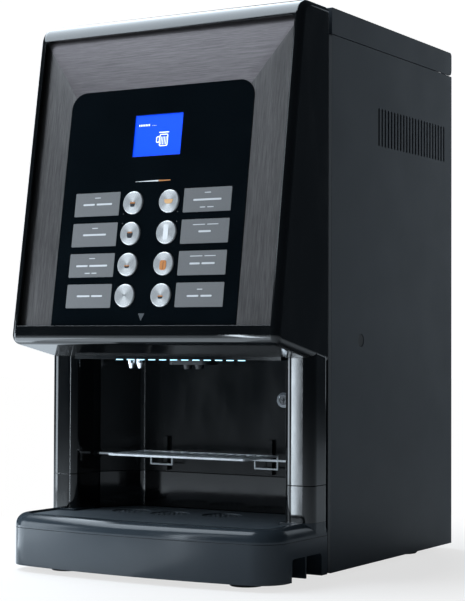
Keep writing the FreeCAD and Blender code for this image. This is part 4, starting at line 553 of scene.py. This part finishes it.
def build_bezel():
    mesh = bmesh.new()
    for side in (1, -1):
        arc = [mesh.verts.new((x, y, RISE_IN)) for x, y in window_arc(side)]
        low_in = mesh.verts.new((side * window_half, 0.0, RISE_IN))
        low_out = mesh.verts.new((side * outer_half, 0.0, RISE_OUT))
        corner = mesh.verts.new((side * outer_half, outer_top, RISE_OUT))
        upright = mesh.faces.new([low_out, corner, arc[ARC // 2]] + arc[:ARC // 2][::-1] + [low_in])
        upright.material_index = 1
        if side == 1:
            right_corner, right_arc = corner, arc
    mesh.faces.new([right_corner, corner, arc[ARC // 2]] + arc[ARC // 2 + 1:] + right_arc[ARC // 2:][::-1])
    bmesh.ops.remove_doubles(mesh, verts=mesh.verts, dist=1e-7)
    bmesh.ops.triangulate(mesh, faces=mesh.faces)
    flat = mesh.loops.layers.uv.new("flat")
    for face in mesh.faces:
        for loop in face.loops:
            loop[flat].uv = loop.vert.co.xy
    piece = keep_mesh("brushed_frame", mesh, [bezel_across_painted_light, bezel_upright_painted_shade], "door", face_frame(0, 0))
    sheet = piece.modifiers.new("sheet", "SOLIDIFY")
    sheet.thickness = SHEET_THICK
    sheet.offset = -1.0
    return piece


brushed_frame = build_bezel()
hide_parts("bezel")
print("brushed frame", round(outer_half / MM, 1), "mm half width")

# %% [markdown]
# ## Eight spun buttons
# Each cap is turned from aluminium bar: a flat face with a faint dish, a rounded shoulder and a skirt
# that hides the gap. A turned part is a profile carried round an axis, so that is how we make the mesh.
# Each cap keeps its own centre, which lets one finish paint its sheen fanning round every one of them.
# %% Turn the caps
def turned(mesh, profile, around=72):
    """Carries a (radius, height) profile round Z."""
    rings = []
    for radius, height in profile:
        if radius < 1e-9:
            rings.append([mesh.verts.new((0, 0, height))])
            continue
        rings.append([mesh.verts.new((radius * math.cos(2 * math.pi * i / around),
                                      radius * math.sin(2 * math.pi * i / around), height))
                      for i in range(around)])
    for lower, upper in zip(rings, rings[1:]):
        for i in range(around):
            j = (i + 1) % around
            if len(lower) == 1:
                mesh.faces.new((lower[0], upper[i], upper[j]))
            elif len(upper) == 1:
                mesh.faces.new((lower[i], lower[j], upper[0]))
            else:
                mesh.faces.new((lower[i], lower[j], upper[j], upper[i]))


SHOULDER = 1.3 * MM
SKIRT_WALL, SKIRT_END = 1.6 * MM, -6.4 * MM
FACE_THICK = 2.4 * MM
STEM_RADIUS, STEM_END = 4 * MM, -11.6 * MM
CREASE = math.radians(50)    # edges sharper than this stay crisp


def cap_profile(radius, proud):
    """Face, shoulder, skirt, hollow inside and the stem."""
    rounds = [(radius - SHOULDER * (1 - math.sin(math.radians(a))),
               proud - SHOULDER * (1 - math.cos(math.radians(a)))) for a in range(0, 91, 15)]
    face = [(0.0, proud - 0.35 * MM), (radius * 0.3, proud - 0.32 * MM), (radius * 0.6, proud - 0.2 * MM),
            (radius * 0.8, proud - 0.05 * MM)]
    inside = radius - SKIRT_WALL
    ceiling = proud - FACE_THICK
    back = [(radius, SKIRT_END), (inside, SKIRT_END), (inside, ceiling), (STEM_RADIUS, ceiling),
            (STEM_RADIUS, STEM_END), (0.0, STEM_END)]
    return face + rounds + back


for number, (x, up, radius, proud) in button_at.items():
    mesh = bmesh.new()
    turned(mesh, cap_profile(radius, proud))
    cap = keep_mesh("button_cap_%d" % number, mesh, button_metal, "button_%d" % number,
                    face_frame(x, up), smooth=True)
    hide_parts("button_%d" % number)
    crisp = cap.modifiers.new("crisp", "EDGE_SPLIT")
    crisp.split_angle = CREASE
print("caps turned:", len(button_at))

# %% [markdown]
# ## Small cups printed on the buttons
# Each button carries a simple picture of its drink: a bowl, a band of colour for what is in it, and no
# words at all. They are drawn from half discs and bars a few millimetres across.
# %% Print the cup pictures
def bowl_outline(x, y, top, bottom, height, steps=6):
    """A cup seen from the side: straight rim, rounded foot."""
    right = [(x + top / 2 - (top - bottom) / 2 * (1 - math.cos(math.radians(90 * i / steps))),
              y + height / 2 - height * math.sin(math.radians(90 * i / steps))) for i in range(steps + 1)]
    left = [(2 * x - px, py) for px, py in reversed(right)]
    return (right + left)[::-1]


PRINT_SINK = 0.36 * MM                 # the print starts this far under the cap's rim, below its dish
PRINT_THICK = INK + 0.34 * MM
# each row: shape, ink, middle across and up, width, then height, or foot width and height, in mm
drinks = {
    1: [("bar", dim_grey, 0.0, 0.5, 5.5, 0.7)],
    2: [("bowl", cup_dark, 0.0, -3.4, 6.6, 3.4, 2.8), ("bar", cup_orange, 0.0, -1.6, 7.2, 1.7)],
    3: [("bowl", cup_dark, 0.0, -3.6, 7.0, 3.4, 2.6), ("bar", cup_orange, 0.0, -2.0, 7.4, 1.5)],
    4: [("bar", cup_orange, 0.0, -2.2, 9.6, 12.4), ("bar", cup_dark, 0.4, -2.8, 0.8, 9.5)],
    5: [("bowl", cup_dark, 0.0, -2.6, 8.4, 4.6, 6.8), ("bar", cup_orange, 0.0, 1.0, 6.6, 1.9)],
    6: [("bar", print_white, 0.0, 0.0, 7.4, 20.0)],
    7: [("bowl", cup_dark, 0.0, -3.2, 7.0, 4.0, 4.6), ("bar", cup_orange, 0.0, -0.6, 7.6, 2.1)],
    8: [("bowl", cup_tan, 0.0, -0.6, 13.0, 5.4, 5.6), ("bar", print_white, 0.0, -5.0, 5.0, 1.4)],
}
for number, shapes in drinks.items():
    x, up, radius, proud = button_at[number]
    for part, (kind, ink, px, py, width, *size) in enumerate(shapes):
        mesh = bmesh.new()
        if kind == "bowl":
            outline = bowl_outline(px * MM, py * MM, width * MM, size[0] * MM, size[1] * MM)
        else:
            height = size[0] * MM
            outline = bar_outline(px * MM, py * MM, width * MM, height, min(height, width * MM) * 0.3)
        add_plate(mesh, outline, PRINT_THICK)
        keep_mesh("drink_%d_%d" % (number, part), mesh, ink, "button_%d" % number,
                  face_frame(x, up, proud - PRINT_SINK))
print("drinks printed:", len(drinks))

# %% [markdown]
# ## Labels, screen and small marks
# The grey plates name the drinks on a real machine. Here they carry plain bars of the same size as the
# words, so the face reads the same without saying anything.
# %% Print the labels
label_middle = (label_inner + label_outer) / 2
label_out = on_plane("label_plates")[2][1] - glass_out[1]
BAR_SHARE = 0.42    # a bar is this share of the height of the line it stands for
# each bar: middle across and up, width, line height, in mm
lines = {
    1: [(-8.5, 0, 20, 5.4), (12.5, 0, 17, 5.4)],
    2: [(-9.5, -1.5, 17, 5.4), (10.0, -1.5, 16, 5.4), (0, 6.8, 8, 2.4)],
    3: [(-15, -0.6, 18, 5.6), (10.5, -0.6, 28, 5.6), (0, 9.0, 9, 2.4), (-5.5, -10.2, 8, 2.8),
        (5, -10.2, 8, 2.8)],
    4: [(-10.5, -0.8, 15, 5.6), (9, -0.8, 19, 5.6), (-9, 8.6, 18, 2.4), (11, 8.6, 16, 2.4)],
    5: [(0, 0, 36, 5.6), (0, 8.6, 9, 2.4)],
    6: [(0, -0.4, 18, 5.6), (-9, 8.4, 18, 2.4), (11, 8.4, 16, 2.4)],
    7: [(-13, 0, 18, 5.6), (11, 0, 24, 5.6), (0, 8.6, 9, 2.4)],
    8: [(0, 0, 41, 5.6), (0, 9.0, 9, 2.4), (-6, -9.6, 8, 2.8), (5.5, -9.6, 9, 2.8)],
}
for number, bars in lines.items():
    x, up = button_at[number][:2]
    side = 1 if x > 0 else -1
    mesh = bmesh.new()
    for dx, dy, width, height in bars:
        add_plate(mesh, bar_outline(dx * MM, dy * MM, width * MM, height * BAR_SHARE * MM), INK)
    keep_mesh("label_bars_%d" % number, mesh, label_print, "door",
              face_frame(side * label_middle, up, label_out))
print("label half height", round(label_half_height / MM, 1), "mm")

# %% [markdown]
# ## The screen and the glass marks
# The screen shows a mug under a row of short bars, which stand for what a real one would say. A pointer,
# four dots and a hairline in two colours are printed on the glass round it.
# %% Draw the screen picture
screen_up, screen_out = on_plane("display")[1:]
screen_middle = (screen_up[0] + screen_up[1]) / 2 - glass_up[0]
# the lit face is the foremost part of the display's housing
lit_out = screen_out[1] - glass_out[1]
MUG_X, MUG_Y = 9.0, -7.0            # the middle of the mug, in mm from the middle of the screen
HANDLE_X, HANDLE_Y = MUG_X - 8.6, MUG_Y + 1.0


def mm_bar(x, y, width, height, radius=None, steps=5):
    """bar_outline with every length in mm."""
    return bar_outline(x * MM, y * MM, width * MM, height * MM, radius and radius * MM, steps)


def screen_marks():
    mesh = bmesh.new()
    ring_plate(mesh, mm_bar(MUG_X, MUG_Y, 13, 16, 2.2), mm_bar(MUG_X, MUG_Y, 10.6, 13.6, 1.4), INK)
    for i in range(4):
        add_plate(mesh, mm_bar(MUG_X - 3.6 + 2.4 * i, MUG_Y - 0.6, 0.9, 10.5), INK)
    ring_plate(mesh, mm_bar(HANDLE_X, HANDLE_Y, 5.4, 8.6, 2.2),
               mm_bar(HANDLE_X, HANDLE_Y, 3.0, 6.2, 1.2), INK)
    add_plate(mesh, mm_bar(MUG_X, MUG_Y + 10.2, 15, 1.3), INK)
    for i in range(7):
        add_plate(mesh, mm_bar(-29.5 + 2.5 * i, 14.0, 1.5, 2.6, 0.5, 3), INK)
    for i in range(3):
        add_plate(mesh, mm_bar(-9.5 + 2.5 * i, 13.0, 0.8, 0.8, 0.3, 3), INK)
    keep_mesh("screen_marks", mesh, screen_white, "door", face_frame(0, screen_middle, lit_out))


screen_marks()


def glass_print(name, outlines, ink):
    """Outlines in mm across and up the glass, printed on its front."""
    mesh = bmesh.new()
    for outline in outlines:
        add_plate(mesh, [(x * MM, y * MM) for x, y in outline], INK)
    keep_mesh(name, mesh, ink, "door", face_frame(0, 0))


def glass_marks():
    """A small pointer, four dots and a two-colour hairline, printed on the glass."""
    glass_print("pointer_mark", [[(0.0, 6.8), (4.9, 16.2), (-4.9, 16.2)]], dim_grey)
    dots = [bar_outline(side * 41, up, 1.1, 1.1, 0.5, 3) for side in (-1, 1) for up in (132.5, 145.0)]
    glass_print("small_dots", dots, label_grey)
    glass_print("accent_pale", [[(-27, 186.3), (8, 185.6), (8, 187.4), (-27, 186.7)]], print_white)
    glass_print("accent_warm", [[(8.4, 185.6), (26, 185.9), (26, 187.1), (8.4, 187.4)]], cup_orange)


glass_marks()
print("screen lit face", round(lit_out / MM, 2), "mm from the glass front")

# %% [markdown]
# ## Dark pads behind the vents
# Air goes in through two rows of slots in the sides. Behind each row sits a thin pad of dark foam: a painted
# shade, a dark sheet that stands in for the shade inside the cabinet and stops light from passing through.
# %% Hang the dark pads
def filter_foam():
    """Open black foam: a mass of small dark cells, a painted shade behind the vent slots."""
    finish, tree, shader = start_finish("filter_foam", (0.004, 0.004, 0.005), 0.95, specular=0.1)
    cells = node(tree, "TexVoronoi", Scale=900.0)
    tree.links.new(place_of(tree), cells.inputs["Vector"])
    shade = blended(tree, cells.outputs["Distance"], (0.003, 0.003, 0.004), (0.010, 0.010, 0.011), 0.2, 0.6)
    tree.links.new(shade, shader.inputs["Base Color"])
    relief(tree, shader, cells.outputs["Distance"], 0.0006, 1.0)
    return finish


foam = filter_foam()
PAD_MIDDLE_Y, PAD_MIDDLE_Z = 134 * MM, 584 * MM
PAD_LENGTH, PAD_HEIGHT, PAD_THICK = 228 * MM, 62 * MM, 2.4 * MM
PAD_OUT = 195.6 * MM    # from the middle of the machine to the middle of a pad
SIDEWAYS = Matrix(((0, 0, 1, 0), (1, 0, 0, 0), (0, 1, 0, 0), (0, 0, 0, 1)))
# painted shade: each pad is a dark sheet behind a row of slots, where there is only shade
for side, name in ((1, "right"), (-1, "left")):
    mesh = bmesh.new()
    add_plate(mesh, bar_outline(PAD_MIDDLE_Y, PAD_MIDDLE_Z, PAD_LENGTH, PAD_HEIGHT, 3 * MM), PAD_THICK)
    keep_mesh("filter_pad_" + name, mesh, foam, "cabinet",
              Matrix.Translation((side * PAD_OUT - PAD_THICK / 2, 0, 0)) @ SIDEWAYS)
print("filter pads hung")

# %% [markdown]
# ## Floor, air and light
# A studio table is a pale sweep under soft light. A black glossy object shows little but reflections, so
# its lights are chosen by what should be mirrored: a broad panel above draws the bright line along the
# hood, strips from the left and the front draw the lines down the columns, and cards that lie on the
# table light the underside of the hood. The table fades to white, so that only the contact shadow is left.
# %% Floor and air
FLOOR_DROP = 0.0002             # the floor lies this far under the feet
HAZE_DROP = 0.0001              # and the haze that fades it lies just above it
HAZE_NEAR, HAZE_FAR = 0.28, 0.70    # the fade starts and is complete at these radii
HAZE_LEAST = 0.70               # share of white already there at the machine
SWEEP_RADIUS = 13.0


def pale_floor():
    finish, tree, shader = start_finish("studio_floor", (0.80, 0.80, 0.80), 0.6, specular=0.2)
    place = place_of(tree)
    tree.links.new(blended(tree, noise(tree, place, 4.0), (0.79, 0.79, 0.79), (0.81, 0.81, 0.81)),
                   shader.inputs["Base Color"])
    stage_mesh("studio_floor", flat_square(SWEEP_RADIUS + 1.0), finish, cad_box[0].z - FLOOR_DROP)


def flat_square(half):
    mesh = bmesh.new()
    bmesh.ops.create_grid(mesh, x_segments=1, y_segments=1, size=half)
    return mesh


def stage_mesh(name, mesh, finish, height=0.0, camera_only=False):
    """Adds a piece of the studio, which isn't part of the machine."""
    data = bpy.data.meshes.new(name)
    mesh.to_mesh(data)
    mesh.free()
    data.materials.append(finish)
    made = bpy.data.objects.new(name, data)
    bpy.context.scene.collection.objects.link(made)
    made.location.z = height
    if camera_only:
        for kind in ("diffuse", "glossy", "transmission", "volume_scatter", "shadow"):
            setattr(made, "visible_" + kind, False)


def white_sweep():
    """The plain white behind the table. Only the camera sees it, so it neither lights nor mirrors."""
    finish, tree, shader = start_finish("studio_white", (1.0, 1.0, 1.0), 1.0, specular=0.0)
    shader.inputs["Emission Color"].default_value = (1.0, 1.0, 1.0, 1.0)
    shader.inputs["Emission Strength"].default_value = 1.0
    mesh = bmesh.new()
    bmesh.ops.create_uvsphere(mesh, u_segments=48, v_segments=24, radius=SWEEP_RADIUS)
    stage_mesh("studio_white", mesh, finish, camera_only=True)


def white_haze():
    """Fades the table to plain white away from the machine, so only the contact shadow is left."""
    finish = bpy.data.materials.new("studio_haze")
    finish.use_nodes = True
    tree = finish.node_tree
    tree.nodes.remove(tree.nodes["Principled BSDF"])
    place = node(tree, "TexCoord")
    reach = node(tree, "VectorMath", {"operation": "LENGTH"})
    tree.links.new(place.outputs["Object"], reach.inputs[0])
    share = ranged(tree, reach.outputs["Value"], HAZE_LEAST, 1.0, HAZE_NEAR, HAZE_FAR)
    clear = node(tree, "BsdfTransparent")
    white = node(tree, "Emission", Strength=1.0)
    mixed = node(tree, "MixShader")
    tree.links.new(share, mixed.inputs[0])
    tree.links.new(clear.outputs[0], mixed.inputs[1])
    tree.links.new(white.outputs[0], mixed.inputs[2])
    tree.links.new(mixed.outputs[0], tree.nodes["Material Output"].inputs["Surface"])
    stage_mesh("studio_haze", flat_square(SWEEP_RADIUS + 0.5), finish, cad_box[0].z - HAZE_DROP,
               camera_only=True)


pale_floor()
white_sweep()
white_haze()
air = bpy.data.worlds.new("studio_air")
air.use_nodes = True
air.node_tree.nodes["Background"].inputs["Color"].default_value = (0.62, 0.80, 1.0, 1.0)
air.node_tree.nodes["Background"].inputs["Strength"].default_value = 0.06
bpy.context.scene.world = air
bpy.context.scene.view_settings.view_transform = "Standard"
print("floor, sweep, haze and air ready")

# %% [markdown]
# ## Light panels
# A soft box is a bright rectangle. We give each one its place, the point it faces, its size and how bright
# its surface is, and work out its power from those, so that resizing a panel doesn't change its glare.
# %% Light panels
COOL = (0.80, 0.905, 1.0)


def light_panel(name, place, aim, width, height, brightness):
    """A soft panel at a place, facing a point, as bright as a surface of that radiance."""
    lamp = bpy.data.lights.new(name, "AREA")
    lamp.shape = "RECTANGLE"
    lamp.size, lamp.size_y = width, height
    lamp.energy = brightness * math.pi * width * height
    lamp.color = COOL
    panel = bpy.data.objects.new(name, lamp)
    bpy.context.scene.collection.objects.link(panel)
    panel.location = place
    panel.rotation_euler = (Vector(aim) - Vector(place)).to_track_quat("-Z", "Y").to_euler()
    panel.visible_camera = False


light_panel("panel_above", (-0.98, -0.20, 2.05), (0.0, -0.20, 0.7), 3.0, 1.5, 7.5)
light_panel("panel_front", (-0.72, -1.95, 1.30), (0.0, -0.2, 0.5), 0.26, 0.60, 4.0)
light_panel("strip_left", (-0.98, -0.75, 0.26), (-0.12, -0.15, 0.26), 0.50, 0.50, 7.0)
light_panel("strip_front", (-0.155, -0.75, 0.16), (0.16, -0.16, 0.16), 0.024, 0.30, 22.0)
light_panel("card_low", (-0.60, -0.43, 0.004), (-0.60, -0.43, 1.0), 0.42, 0.46, 5.0)
light_panel("card_front", (-0.20, -0.47, 0.003), (-0.20, -0.47, 1.0), 0.36, 0.36, 2.0)
light_panel("panel_back", (0.85, 2.60, 0.95), (0.2, 0.1, 0.4), 1.0, 1.7, 1.0)

# %% [markdown]
# ## The camera
# A long lens stands a little to the right, at the height of the cup shelf, looking slightly up. The small
# roll is part of the view.
# %% Camera
YAW, PITCH, ROLL = math.radians(30.703), math.radians(1.546), math.radians(0.237)
EYE_AT = (1.1533, -1.9591, 0.2929)
SENSOR = 36.0                   # height of the sensor in mm
REACH = 1652.85 / 601           # focal length as a share of the sensor's height
look = Vector((-math.sin(YAW) * math.cos(PITCH), math.cos(YAW) * math.cos(PITCH), math.sin(PITCH)))
level = look.cross(Vector((0, 0, 1))).normalized()
upright = level.cross(look)
right = level * math.cos(ROLL) + upright * math.sin(ROLL)
top = -level * math.sin(ROLL) + upright * math.cos(ROLL)
eye = bpy.data.cameras.new("portrait_lens")
eye.sensor_fit = "VERTICAL"
eye.sensor_height = SENSOR
eye.lens = REACH * SENSOR
eye.clip_start, eye.clip_end = 0.05, 60.0
camera = bpy.data.objects.new("portrait_camera", eye)
bpy.context.scene.collection.objects.link(camera)
camera.matrix_world = Matrix.Translation(EYE_AT) @ Matrix((right, top, -look)).transposed().to_4x4()
bpy.context.scene.camera = camera
print("lens", round(eye.lens, 1), "mm")
